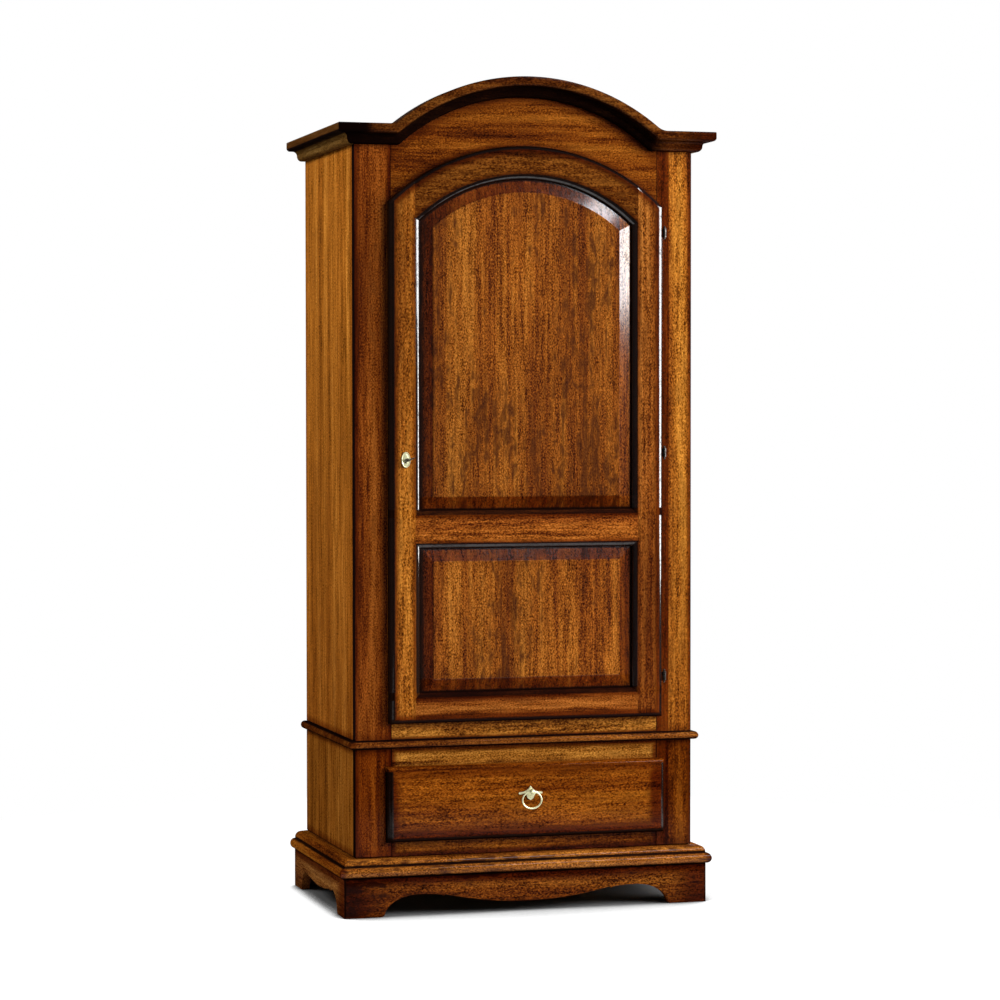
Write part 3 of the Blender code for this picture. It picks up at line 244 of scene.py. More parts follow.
def arc(centre, across, up, start, end, steps):
    """Points of an ellipse's arc: its centre plus the half-axes times the cosine and sine of angles in degrees."""
    angles = np.radians(np.linspace(start, end, steps + 1))
    return np.stack([centre[0] + across * np.cos(angles), centre[1] + up * np.sin(angles)], axis=1)


def skin(name, rings, looped=False):
    """A closed shell through rings of points, from an array of rings x points x 3.

    Point j of ring i is joined to point j of ring i + 1 and to both their neighbours j + 1. The first and last
    rings are filled, unless the rings are looped and the last is joined to the first.
    """
    count, around = rings.shape[:2]
    number = np.arange(count * around).reshape(count, around)
    ahead = np.roll(number, -1, axis=0) if looped else number[1:]
    here = number if looped else number[:-1]
    quads = np.stack([here, np.roll(here, -1, axis=1), np.roll(ahead, -1, axis=1), ahead], axis=-1)
    faces = quads.reshape(-1, 4).tolist()
    if not looped:
        faces += [number[0][::-1].tolist(), number[-1].tolist()]
    mesh = bpy.data.meshes.new(name)
    mesh.from_pydata(rings.reshape(-1, 3).tolist(), [], faces)
    made = bmesh.new()
    made.from_mesh(mesh)
    bmesh.ops.remove_doubles(made, verts=made.verts, dist=1e-6)
    bmesh.ops.recalc_face_normals(made, faces=made.faces)
    made.to_mesh(mesh)
    made.free()
    piece = bpy.data.objects.new(name, mesh)
    bpy.context.scene.collection.objects.link(piece)
    return piece


def fitted(piece, material, body, slot, *nodes, turn=30.0, soften=0.0):
    """Gives a piece its finish, smooths it up to a turn in degrees, eases its arrises and sets it in the frame."""
    piece.data.materials.clear()
    piece.data.materials.append(material)
    piece.data.shade_smooth()
    piece.data.set_sharp_from_angle(angle=math.radians(turn))
    if soften:
        eased = piece.modifiers.new("eased arrises", "BEVEL")
        eased.width = soften
        eased.segments = 2
        eased.limit_method = "ANGLE"
        eased.angle_limit = math.radians(turn)
        eased.harden_normals = True
    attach(piece, body)
    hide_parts(*nodes)
    return piece


def sawn(node, name):
    """A copy of a node of the frame, with its loose triangles merged and its flat ones joined into whole faces."""
    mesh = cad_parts[node].data.copy()
    mesh.name = name
    made = bmesh.new()
    made.from_mesh(mesh)
    bmesh.ops.remove_doubles(made, verts=made.verts, dist=1e-5)
    bmesh.ops.dissolve_limit(made, angle_limit=math.radians(0.4), verts=made.verts, edges=made.edges)
    made.to_mesh(mesh)
    made.free()
    piece = bpy.data.objects.new(name, mesh)
    bpy.context.scene.collection.objects.link(piece)
    return piece


case_half = 0.4655
face_y = -0.25025
back_y = 0.31975
plinth_half = 0.5001
plinth_y = -0.27435
plinth_height = 0.1045
plinth_thickness = 0.022
plinth_ease = 0.0012
board_ease = 0.0008
play = 0.0003
joint_gap = play * math.sqrt(2)
scroll_height, nib_drop, nib_run, nib_step, foot_flare = 0.056, 0.007, 0.004, 0.004, 0.006


def scroll(half_length, foot, arch_run, fall_run, belly_floor):
    """The lower edge of an apron, from its right end to its left: foot, quarter ellipse, nib and hanging belly.

    The belly is the arc of the circle through its two ends and its lowest point.
    """
    foot_in = half_length - foot
    peak = foot_in - arch_run
    belly_start = peak - fall_run - nib_run
    belly_top = scroll_height - nib_drop + nib_step
    sag = belly_top - belly_floor
    radius = (belly_start ** 2 + sag ** 2) / (2 * sag)
    angle = math.degrees(math.asin(belly_start / radius))
    right = np.vstack([
        [(half_length, 0), (foot_in, 0)],
        arc((peak, 0), arch_run - foot_flare, scroll_height, 4, 90, 20),
        arc((peak, scroll_height - nib_drop), fall_run, nib_drop, 90, 180, 10)[1:],
    ])
    belly = arc((0, belly_floor + radius), radius, radius, 270 + angle, 270 - angle, 32)
    return np.vstack([right, belly, right[::-1] * (-1, 1)])


def apron(line, low_end, high_end):
    """An apron's skin as rings of (along, inward, up), one upright section at each point of its lower line.

    A section's foot follows the line and its top is level, both with their front arris rounded. low_end and
    high_end cut the ends, each a place along and how far it moves for each metre inward, 1 for a mitre.
    """
    low = arc((plinth_ease, plinth_ease), plinth_ease, plinth_ease, 180, 270, 4)
    inward = np.concatenate([low[:, 0], [plinth_thickness] * 2, low[::-1, 0]])
    foot = np.concatenate([low[:, 1], [0, 0], -low[::-1, 1]])
    is_top = np.arange(len(inward)) > len(low)
    along = np.clip(line[:, :1], low_end[0] + low_end[1] * inward, high_end[0] - high_end[1] * inward)
    up = np.where(is_top, plinth_height, line[:, 1:]) + foot
    return np.stack([along, np.broadcast_to(inward, along.shape), up], axis=-1)


def apron_masks(node, *ends):
    """Patina along the top, the sawn foot and the mitred ends, and a line of glaze along the top and those ends."""
    patina = edges(node, "z_high", width=0.045)
    low = edges(node, "z_low", width=0.05)
    worn_ends = edges(node, *ends, width=0.16)
    return {"patina": lambda x, y, z: patina(x, y, z).most(low(x, y, z) * 0.5).most(worn_ends(x, y, z)),
            "glaze": edges(node, "z_high", *ends, width=0.007)}


front_line = scroll(plinth_half, foot=0.1014, arch_run=0.0987, fall_run=0.068, belly_floor=0.026)
front = apron(front_line, (-plinth_half, 1), (plinth_half, 1))
front = np.stack([front[..., 0], plinth_y + front[..., 1], front[..., 2]], axis=-1)
fitted(skin("plinth_front_apron", front),
       stained_walnut("plinth front walnut", "X", 1, tint=(0.36, 0.30, 0.30), figure=2.4, gloss=0.05,
                      **apron_masks("plinth_front", "x_low", "x_high")),
       "carcass", "walnut", "plinth_front")
side_middle = (back_y + plinth_y) / 2
side_line = scroll((back_y - plinth_y) / 2, foot=0.080, arch_run=0.062, fall_run=0.030, belly_floor=0.0425)
side_line = side_line + (side_middle, 0)
side = apron(side_line, (plinth_y + joint_gap, 1), (back_y, 0))
for word, sign in (("left", -1), ("right", 1)):
    node = "plinth_" + word
    placed = np.stack([sign * (plinth_half - side[..., 1]), side[..., 0], side[..., 2]], axis=-1)
    fitted(skin(node + "_apron", placed),
           stained_walnut("plinth walnut " + word, "Y", 2 + sign, tint=(0.80, 1.02, 2.30), gloss=0.0,
                          **apron_masks(node, "y_low")),
           "carcass", "walnut", node)

back_stain = Finish("dark back board")
point = back_stain.place()
grain = back_stain.noise(point, (3.0, 90.0, 90.0), (0, 0, 0), detail=3.0)
tones = ((0.3, srgb(38, 20, 10)), (0.7, srgb(66, 38, 20)))
back_stain.feed(back_stain.surface, {
    "Base Color": back_stain.node("ValToRGB", {"stops": tones}, {0: grain + 0.5}),
    "Roughness": 0.6,
    "Normal": back_stain.node("Bump", {}, {"Strength": 0.1, "Distance": 0.0005, "Height": grain})})
fitted(sawn("plinth_back", "plinth_back_board"), back_stain.material, "carcass", "dark_board", "plinth_back",
       soften=board_ease)


# Base frame. A moulded walnut frame lies on the plinth and carries the base case. A bead, a quirk and an ovolo
# are run along its front and both sides, mitred at the front corners.

frame_z = 0.1048
frame_thickness = 0.0495
frame_width = 0.070
bead_out = 0.0132
bead_depth, bead_height = 0.0125, 0.028
quirk_depth, quirk_height = 0.0015, 0.004
ovolo_depth, ovolo_height = 0.0175, 0.015
nose_half = plinth_half + bead_out
nose_y = plinth_y - bead_out


def base_frame_profile():
    """The frame's section as (outward from the nose, up): half an ellipse, a step and a quarter ellipse."""
    quirk_in = bead_depth + quirk_depth
    ovolo_in = quirk_in + ovolo_depth
    quirk_top = bead_height + quirk_height
    return np.vstack([
        [(-frame_width, 0)], arc((-bead_depth, bead_height / 2), bead_depth, bead_height / 2, -90, 90, 24),
        [(-quirk_in, bead_height)], arc((-ovolo_in, quirk_top), ovolo_depth, ovolo_height, 0, 90, 12),
        [(-frame_width, frame_thickness)],
    ])


out, up = base_frame_profile().T
mitre_y = nose_y - out


def frame_masks(node, *ends):
    """Glaze lies in the quirk and where the case stands on the frame, and painted shade on the bead's underside."""
    worn = edges(node, *ends, width=0.03)

    def glaze(x, y, z):
        quirk = (z - (frame_z + bead_height + quirk_height / 2)).size().rise(0.0015, 0.005, 0.9, 0.0)
        # Painted shade on the underside of the bead.
        under = z.rise(frame_z, frame_z + 0.008, 1.0, 0.0)
        top = z.rise(frame_z + frame_thickness - 0.003, frame_z + frame_thickness, 0.0, 0.8)
        return quirk.most(under).most(top)
    return {"patina": worn, "glaze": glaze}


rings = np.stack([np.stack([sign * (nose_half + out), mitre_y, frame_z + up], axis=-1) for sign in (-1, 1)])
fitted(skin("base_frame_front_moulding", rings),
       stained_walnut("base frame walnut front", "X", 4, tint=(0.70, 0.74, 0.95), figure=2.0,
                      **frame_masks("base_frame_front", "x_low", "x_high")),
       "carcass", "walnut", "base_frame_front", turn=40)
for word, sign in (("left", -1), ("right", 1)):
    node = "base_frame_" + word
    outer = sign * (nose_half + out)
    rings = np.stack([np.stack([outer, along, frame_z + up], axis=-1)
                      for along in (mitre_y + joint_gap, np.full_like(out, back_y))])
    fitted(skin(node + "_moulding", rings),
           stained_walnut("base frame walnut " + word, "Y", 5 + sign, tint=(0.80, 0.80, 0.76), gloss=0.0,
                          **frame_masks(node, "y_low")),
           "carcass", "walnut", node, turn=40)


# Base case. Two sides, two stiles and two rails of walnut frame the drawer's opening. The sides are wide boards
# of straighter, paler wood, and the stiles and rails are glued up flush with each other.

side_tones = ((0.15, srgb(104, 58, 16)), (0.45, srgb(146, 86, 24)), (0.70, srgb(170, 106, 34)),
              (0.90, srgb(190, 128, 50)))
opening_half = 0.367
strip_x = 0.402


def side_masks(node, top=0.0, painted_shade_level=0.0):
    """Dark lines at the front and the ends, darker towards the front edge, the ends and the back edge, and painted
    shade that darkens towards the foot and, by a given level, all over.
    """
    low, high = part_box(node)

    def patina(x, y, z):
        # Painted shade: darker towards the foot, and all over by the painted shade level.
        foot = z.rise(low[2], high[2], 0.42, 0.0)
        front_edge = y.rise(low[1], low[1] + 0.075, 0.42, 0.0)
        ends = (z - low[2]).least(high[2] - z + top).rise(0.0, 0.045, 0.75, 0.0)
        back_edge = y.rise(high[1] - 0.05, high[1], 0.0, 0.4)
        return foot.most(front_edge).most(ends).most(back_edge).most(painted_shade_level)
    return {"patina": patina, "glaze": edges(node, "y_low", "z_low", "z_high", width=0.0028)}


def stile_masks(node, inner_sign):
    """Dark patina along the outer arris and the opening, and on the right a darker strip along the opening."""
    low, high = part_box(node)

    def patina(x, y, z):
        rim = (x - low[0]).least(high[0] - x).rise(0.0, 0.022, 0.85, 0.0)
        if inner_sign < 0:
            strip = (strip_x - x).rise(-0.0006, 0.0006, 0.0, 0.85)
            rim = rim.most(strip)
        ends = (z - low[2]).least(high[2] - z).rise(0.0, 0.05, 0.6, 0.0)
        foot = z.rise(low[2] + 0.2, low[2] + 0.8, 0.32, 0.0)
        return rim.most(ends).most(foot)
    return {"patina": patina, "glaze": edges(node, "x_low", "x_high", "z_low", "z_high", width=0.0026)}


for word, seed, inner_sign, tint in (("left", 11, 1, (0.52, 0.37, 0.29)), ("right", 12, -1, (0.34, 0.27, 0.20))):
    node = "base_side_" + word
    fitted(sawn(node, node + "_board"),
           stained_walnut("base side walnut " + word, "Z", seed, tones=side_tones, gloss=0.0,
                          **side_masks(node, painted_shade_level=0.42)),
           "carcass", "walnut", node, soften=board_ease)
    node = "base_stile_" + word
    fitted(sawn(node, node + "_board"),
           stained_walnut("base stile walnut " + word, "Z", seed + 2, tint=tint, gloss=0.06,
                          **stile_masks(node, inner_sign)),
           "carcass", "walnut", node, soften=board_ease)
for word, seed, tint in (("lower", 15, (0.40, 0.34, 0.26)), ("upper", 16, (0.70, 0.84, 1.15))):
    node = "drawer_rail_" + word
    fitted(sawn(node, node + "_board"),
           stained_walnut("drawer rail walnut " + word, "X", seed, tint=tint, gloss=0.05,
                          patina=edges(node, "x_low", "x_high", "z_low", "z_high", width=0.022),
                          glaze=edges(node, "x_low", "x_high", width=0.002)),
           "carcass", "walnut", node)


# Inner boards. Backs, floors, runners, the shelf with its cleats and the drawer's box are clear-sealed pale
# boards, which show only when the door or the drawer is open.

def sealed_board(name, grain, seed):
    """Pale sealed wood: straight fibres between two tan tones, and a dull surface."""
    wood = Finish(name)
    point = wood.place()
    shift = (seed, seed / 2, seed)

    def drawn_out(across, along, detail):
        """Noise with about so many lumps to the metre across the grain and along it."""
        scales = [across] * 3
        scales["XYZ".index(grain)] = along
        return wood.noise(point, tuple(scales), shift, detail=detail, roughness=0.6)

    fibres = drawn_out(120.0, 3.0, 4.0)
    bands = drawn_out(14.0, 0.8, 2.0)
    tones = ((0.25, srgb(150, 105, 62)), (0.75, srgb(203, 160, 108)))
    wood.feed(wood.surface, {
        "Base Color": wood.node("ValToRGB", {"stops": tones}, {0: 0.5 + fibres * 0.9 + bands * 0.6}),
        "Roughness": 0.52 + bands * 0.2, "Specular IOR Level": 0.3,
        "Normal": wood.node("Bump", {}, {"Strength": 0.08, "Distance": 0.0004, "Height": fibres})})
    return wood.material


inner_boards = {
    "base_back": ("Z", "carcass"), "base_floor": ("X", "carcass"), "upper_back": ("Z", "carcass"),
    "upper_floor": ("X", "carcass"), "top_board": ("X", "carcass"), "shelf": ("X", "carcass"),
    "shelf_cleat_left": ("Y", "carcass"), "shelf_cleat_right": ("Y", "carcass"),
    "drawer_runner_left": ("Y", "carcass"), "drawer_runner_right": ("Y", "carcass"),
    "drawer_side_left": ("Y", "drawer"), "drawer_side_right": ("Y", "drawer"),
    "drawer_back": ("X", "drawer"), "drawer_bottom": ("X", "drawer"),
}
for seed, (node, (grain_axis, body)) in enumerate(inner_boards.items()):
    fitted(sawn(node, node + "_board"), sealed_board(node.replace("_", " ") + " wood", grain_axis, seed * 1.7),
           body, "inner_board", node, soften=board_ease)


# Drawer front. A solid walnut front whose lipped edge laps over the opening all round. A quarter round with a
# small step runs along the lip, and black glaze is left in it.

lip_gap = 0.0005
lip_thickness = 0.023
tongue_depth = 0.0085
round_width, round_depth = 0.011, 0.0105
step_rise, step_run = 0.002, 0.0006
front_y = face_y - lip_gap - lip_thickness


class Outline:
    """A square or arch-topped outline in the front's plane, which can be drawn larger or smaller."""

    def __init__(self, half, bottom, spring, rise=0.0):
        self.half, self.bottom, self.spring, self.rise = half, bottom, spring, rise
        self.radius = (half * half + rise * rise) / (2 * rise) if rise else 0.0
        self.centre = spring + rise - self.radius

    def points(self, out, steps=72):
        """The outline drawn out by a distance: two lower corners, then the top as a line or a circle's arc."""
        half, low = self.half + out, self.bottom - out
        foot = [(-half, low), (half, low)]
        if not self.rise:
            return np.array(foot + [(half, self.spring + out), (-half, self.spring + out)])
        radius = self.radius + out
        angle = math.degrees(math.acos(half / radius))
        return np.vstack([foot, arc((0, self.centre), radius, radius, angle, 180 - angle, steps)])

    def inside(self, x, z):
        """How far in from the outline a shaded point lies: the least distance to its sides, foot and top."""
        depth = (self.half - x.size()).least(z - self.bottom)
        if not self.rise:
            return depth.least(self.spring - z)
        above = (z - self.centre).most(0.0)
        return depth.least(self.radius - (x * x + above * above).root())


def rings_of(outline, steps):
    """Rings for a skin: the outline drawn out by the first number of each step, at the second one's place on Y."""
    rings = []
    for out, y in steps:
        points = outline.points(out)
        rings.append(np.stack([points[:, 0], np.full(len(points), y), points[:, 1]], axis=-1))
    return np.stack(rings)


drawer_outline = Outline(half=0.373, bottom=0.2040, spring=0.3797)
drawer_overlap = 0.011
tongue_in = 0.0085
wall_y = front_y + step_rise + round_depth
rounded = arc((drawer_overlap - round_width, wall_y), round_width, -round_depth, 0, 90, 12)
drawer_steps = np.vstack([
    [(-tongue_in, face_y + tongue_depth), (-tongue_in, face_y - lip_gap), (drawer_overlap, face_y - lip_gap)],
    rounded, [(drawer_overlap - round_width - step_run, front_y)]])


def lip_masks(outline, overlap, reach):
    """Glaze on the rounded lip, widened on the left as painted shade and thinned at the top as painted light,
    patina that fades inward and is lighter at the top as painted light, and dull left and lower lips.
    """

    def glaze(x, y, z):
        depth = outline.inside(x, z) + overlap
        # Less glaze on the top lip is painted light, and the wider glaze on the left lip is painted shade.
        light_on_top_lip = (outline.spring - z).rise(-0.004, 0.004, 0.10, 1.0)
        left_lip = (x + (outline.half + overlap)).rise(0.013, 0.019, 1.0, 0.0)
        return depth.rise(round_width * 0.55, round_width + 0.0022, 1.0, 0.0).most(left_lip) * light_on_top_lip

    def patina(x, y, z):
        right_end = x.rise(outline.half - 0.050, outline.half - 0.012, 0.0, 1.1)
        # Less patina along the top is painted light.
        top_light = (outline.spring - z).rise(0.0, 0.035, 0.55, 1.0)
        top_lip = (outline.spring - z).rise(-0.006, -0.001, 0.35, 1.0)
        rim = (outline.inside(x, z) + overlap).rise(0.010, reach, 1.0, 0.0)
        return rim.most(right_end) * top_light * top_lip

    def shine(x, y, z):
        left_lip = (x + outline.half).rise(-0.004, 0.010, 0.15, 1.0)
        return (z - outline.bottom + overlap).rise(0.008, 0.020, 0.05, 1.0) * left_lip
    return {"glaze": glaze, "patina": patina, "shine": shine}


fitted(skin("drawer_front_board", rings_of(drawer_outline, drawer_steps)),
       stained_walnut("drawer front walnut", "X", 21, tint=(0.53, 0.45, 0.34), gloss=0.13,
                      glaze_gloss=1.0, **lip_masks(drawer_outline, drawer_overlap, reach=0.050)),
       "drawer", "walnut", "drawer_front")


# Waist board. A walnut board closes the base case, and its rounded nose shows between the two cases on the front
# and both sides.

waist_z, waist_thickness = 0.4388, 0.0215
waist_straight, nose_depth = 0.006, 0.0105
nose = arc((waist_straight, waist_z + waist_thickness / 2), nose_depth, waist_thickness / 2, -90, 90, 16)
rings = np.stack([np.array([(-case_half - out, face_y - out, z), (case_half + out, face_y - out, z),
                            (case_half + out, back_y, z), (-case_half - out, back_y, z)]) for out, z in nose])


def waist_glaze_and_shade(x, y, z):
    """Glaze lies in the corner above the nose, and painted shade below it."""
    over = z - (waist_z + waist_thickness / 2)
    # The dark band below the nose is painted shade.
    return over.rise(0.006, waist_thickness / 2, 0.0, 0.95).most(over.rise(-0.008, -0.003, 0.95, 0.0))


# The patina on the nose's left return is painted shade.
fitted(skin("waist_nosing", rings),
       stained_walnut("waist walnut", "X", 22, tint=(0.54, 0.56, 0.80), gloss=0.05, glaze=waist_glaze_and_shade,
                      shine=lambda x, y, z: (x + case_half).rise(-0.004, 0.004, 0.0, 1.0),
                      patina=lambda x, y, z: (-case_half - x).rise(-0.004, 0.004, 0.0, 0.6)),
       "carcass", "walnut", "waist_board", turn=40)


# Upper case. Tall walnut sides stand behind the stiles. The sill and the arched frieze are glued flush between
# the stiles, and two glue lines run across the frieze.

for word, seed, inner_sign, tint in (("left", 31, 1, (0.56, 0.45, 0.54)), ("right", 32, -1, (0.86, 0.94, 1.05))):
    node = "upper_side_" + word
    fitted(sawn(node, node + "_board"),
           stained_walnut("upper side walnut " + word, "Z", seed, tones=side_tones, tint=(1.32, 1.26, 1.24),
                          gloss=0.0, **side_masks(node, top=0.02)),
           "carcass", "walnut", node, soften=board_ease)
    node = "upper_stile_" + word
    fitted(sawn(node, node + "_board"),
           stained_walnut("upper stile walnut " + word, "Z", seed + 2, tint=tint, **stile_masks(node, inner_sign)),
           "carcass", "walnut", node, soften=board_ease)
fitted(sawn("door_sill", "door_sill_board"),
       stained_walnut("sill walnut", "X", 35, tint=(0.80, 0.96, 1.30),
                      patina=edges("door_sill", "z_low", "z_high", width=0.014),
                      glaze=edges("door_sill", "z_low", width=0.005)),
       "carcass", "walnut", "door_sill")

door_opening = Outline(opening_half, bottom=0.5150, spring=1.8640, rise=0.1466)
shoulder_z, crest_z = 2.0676, 2.2000
cap_thickness, cornice_height = 0.0105, 0.0515
cornice_radius, cove_radius, cove_least = 0.572, 0.045, 0.004
crown_centre = crest_z - cornice_radius
lower_line, upper_line = 1.937, 2.021


def cornice_top_line(down, cove_steps=10, arch_steps=48):
    """The right half of the cornice's line from its shoulder to its crown, some way down from the top.

    The shoulder is level, the crown a circle's arc, and a cove that touches both joins them. The cove tightens
    towards the lowest members.
    """
    level, radius = shoulder_z - down, cornice_radius - down
    cove = max(cove_least, cove_radius * (1 - down / cornice_height))
    rise = level + cove - crown_centre
    across = math.sqrt((radius + cove) ** 2 - rise * rise)
    turn = math.degrees(math.atan2(-rise, -across))
    start = math.degrees(math.atan2(rise, across))
    return np.vstack([arc((across, level + cove), cove, cove, -90, turn, cove_steps),
                      arc((0, crown_centre), radius, radius, start, 90, arch_steps)[1:]])


def from_crown(x, z):
    """How far a shaded point lies from the centre of the cornice's arch, in the front's plane."""
    return (x * x + (z - crown_centre) * (z - crown_centre)).root()


board_half = opening_half - play
# The frieze's columns, closer together towards its two ends.
across = np.sin(np.linspace(-1, 1, 121) * math.pi / 2) * board_half
line = cornice_top_line(cap_thickness + play)[::-1]
head = np.interp(np.abs(across), line[:, 0], line[:, 1])
foot = door_opening.centre + np.sqrt(door_opening.radius ** 2 - across ** 2)
frieze_thickness = 0.022
frieze_back_y = face_y + frieze_thickness
arris = 0.001
corners = ((frieze_back_y, foot), (face_y + arris, foot), (face_y, foot + arris), (face_y, head),
           (frieze_back_y, head))
frieze_rings = np.stack([np.stack([across, np.full_like(across, y), z], axis=-1) for y, z in corners], axis=1)


def frieze_shade_and_tones(x, y, z):
    """Painted shade under the cornice, darker round the arch, and darker tones above the upper and below the lower
    glue line.
    """
    # Painted shade under the cornice.
    under = (cornice_radius - cornice_height - from_crown(x, z)).rise(0.0, 0.045, 0.65, 0.0)
    round_arch = (0.0 - door_opening.inside(x, z)).rise(0.010, 0.034, 0.7, 0.0)
    upper_board = z.rise(upper_line - 0.0005, upper_line + 0.0005, 0.0, 0.12)
    lower_board = z.rise(lower_line - 0.0005, lower_line + 0.0005, 0.22, 0.0)
    return under.most(round_arch).most(upper_board).most(lower_board)


def frieze_glaze(x, y, z):
    """Thin dark lines at the two glue lines and at the stiles."""
    lines = (z - upper_line).size().least((z - lower_line).size()).rise(0.0, 0.0012, 0.35, 0.0)
    return lines.most((opening_half - x.size()).rise(0.0, 0.003, 0.25, 0.0))


fitted(skin("frieze_board", frieze_rings),
       stained_walnut("frieze walnut", "X", 36, tint=(0.51, 0.45, 0.42), patina=frieze_shade_and_tones, glaze=frieze_glaze),
       "carcass", "walnut", "frieze", turn=20)


# Hanging rail. A plated steel tube lies in two pressed cups that are screwed to the case's sides.

def worked_metal(name, light, dark, roughness, size=120.0, metallic=1.0):
    """Metal with a mottled patina between two tones, duller where it is darker."""
    metal = Finish(name)
    point = metal.place()
    cloud = metal.noise(point, (size, size, size), (1.0, 2.0, 3.0), detail=4.0, roughness=0.65) + 0.5
    metal.feed(metal.surface, {
        "Base Color": metal.node("ValToRGB", {"stops": ((0.32, dark), (0.62, light))}, {0: cloud}),
        "Metallic": metallic, "Roughness": cloud.rise(0.3, 0.7, roughness + 0.12, roughness),
        "Normal": metal.node("Bump", {}, {"Strength": 0.12, "Distance": 0.0003, "Height": cloud})})
    return metal.material


plated = worked_metal("plated steel", srgb(200, 200, 198), srgb(150, 150, 150), 0.24)
for node in ("hanging_rail", "rail_socket_left", "rail_socket_right"):
    fitted(sawn(node, node + "_fitting"), plated, "carcass", "steel", node, soften=0.0004)


# Door. Two walnut stiles and three rails, the top one arched, are jointed round two raised and fielded panels. A
# stuck moulding runs round each panel and a quarter round along the lip, both glazed black.

lip_overlap = 0.011
sight_half = 0.307
upper_sight = Outline(sight_half, bottom=1.0484, spring=1.8247, rise=0.1230)
lower_sight = Outline(sight_half, bottom=0.5701, spring=0.9773)
sticking_width = 0.0145
bevel_width, bevel_rise = 0.035, 0.0085
field_step, field_run = 0.0013, 0.001
groove_depth, groove_ease = 0.010, 0.002
groove_y = front_y + 0.0155
# Where, from front to back, glaze and patina end on the frame and on the panels.
lip_back = (front_y + 0.017, front_y + 0.020)
panel_back = (groove_y + 0.002, groove_y + 0.005)
waxed_run = 0.006


def sticking_depth(x, z):
    """How far a point lies inside the nearer of the two sights, in metres, negative on the frame's face."""
    return upper_sight.inside(x, z).most(lower_sight.inside(x, z))


def door_glaze_and_shade(x, y, z):
    """Glaze on the lip, widened on the left lip as painted shade, and in the mouldings, less on each lower run, and
    nearly none on the door's back.
    """
    lip = (door_opening.inside(x, z) + lip_overlap).rise(round_width * 0.5, round_width + 0.003, 1.0, 0.0)
    # The wider glaze on the left lip is painted shade.
    left_lip = (x + (opening_half + lip_overlap)).rise(0.012, 0.018, 1.0, 0.0)
    runs = sticking_depth(x, z).rise(-0.0015, 0.004, 0.0, 1.0)
    for sight in (upper_sight, lower_sight):
        runs = runs * (z - (sight.bottom + waxed_run)).size().rise(0.006, 0.010, 0.72, 1.0)
    return lip.most(left_lip).most(runs) * y.rise(*lip_back, 1.0, 0.1)


def door_shine(x, y, z):
    """The lower run of each moulding, which faces up, has been waxed dull, and so has the lip's foot."""
    feet = [(z - (sight.bottom + waxed_run)).size().rise(0.009, 0.012, 0.0, 1.0)
            for sight in (upper_sight, lower_sight)]
    low_lip = (z - (door_opening.bottom - lip_overlap)).rise(0.010, 0.016, 0.05, 1.0)
    return feet[0] * feet[1] * low_lip * (x + opening_half).rise(-0.004, 0.008, 0.45, 1.0)


def door_patina(x, y, z):
    """Patina inside the lip, round the mouldings and low on the hinge side, faint on the door's back."""
    lip = (door_opening.inside(x, z) + lip_overlap).rise(0.012, 0.036, 0.85, 0.0)
    hinge_side = x.rise(0.25, 0.34, 0.0, 0.36) * z.rise(0.95, 1.25, 1.0, 0.0)
    dark = lip.most(sticking_depth(x, z).rise(-0.016, -0.001, 0.0, 0.65)).most(hinge_side)
    return dark * y.rise(*lip_back, 1.0, 0.3)


for node, grain_axis, seed, tint in (
        ("door_stile_left", "Z", 41, (0.88, 0.93, 1.05)), ("door_stile_right", "Z", 42, (0.62, 0.62, 0.92)),
        ("door_rail_bottom", "X", 43, (0.61, 0.56, 0.82)), ("door_rail_middle", "X", 44, (0.75, 0.73, 1.00)),
        ("door_rail_top", "X", 45, (0.28, 0.25, 0.30))):
    fitted(sawn(node, node + "_member"),
           stained_walnut(node.replace("_", " ") + " walnut", grain_axis, seed, tint=tint, patina=door_patina,
                          glaze=door_glaze_and_shade, glaze_gloss=1.0, shine=door_shine),
           "door", "walnut", node, soften=0.0003)

tongue_out = groove_depth - groove_ease - sticking_width
tongue_y, tongue_back_y = groove_y + play, groove_y + 0.0061
bevel_end = sticking_width + bevel_width
panel_steps = [(tongue_out, tongue_back_y), (tongue_out, tongue_y), (-sticking_width, tongue_y),
               (-bevel_end, tongue_y - bevel_rise), (-bevel_end - field_run, tongue_y - bevel_rise - field_step)]


def panel_masks(sight):
    """Patina on the bevel and a little on the field, more on the left bevel as painted shade and less on the right
    one as painted light, glaze at the bevel's foot, wider on the left as painted shade, and a dull lower bevel.
    """
    bevel_edge = (bevel_end - 0.002, bevel_end + 0.001)

    def patina(x, y, z):
        depth = sight.inside(x, z)
        bevel = depth.rise(*bevel_edge, 0.80, 0.0) * y.rise(*panel_back, 1.0, 0.1)
        # Painted shade darkens the left bevel, and painted light lightens the right one, more on the upper panel.
        shade_on_left_bevel = (x + sight_half).rise(*bevel_edge, 0.35, 0.0)
        light_on_right_bevel = (sight_half - x).rise(*bevel_edge, 1.0, 0.0) * z.rise(1.0, 1.1, 0.15, 0.62)
        field = depth.rise(bevel_end, bevel_end + 0.05, 0.30, 0.0)
        return (bevel + bevel * shade_on_left_bevel - bevel * light_on_right_bevel).most(field)

    def glaze(x, y, z):
        foot = sight.inside(x, z).rise(sticking_width, sticking_width + 0.009, 1.0, 0.0)
        # The wider glaze on the left is painted shade.
        shade_at_left_foot = (x + sight_half).rise(sticking_width, sticking_width + 0.024, 0.8, 0.0)
        return foot.most(shade_at_left_foot) * y.rise(*panel_back, 1.0, 0.2)

    def shine(x, y, z):
        return (z - sight.bottom).rise(bevel_end - 0.004, bevel_end + 0.004, 0.03, 1.0)
    return {"patina": patina, "glaze": glaze, "shine": shine}


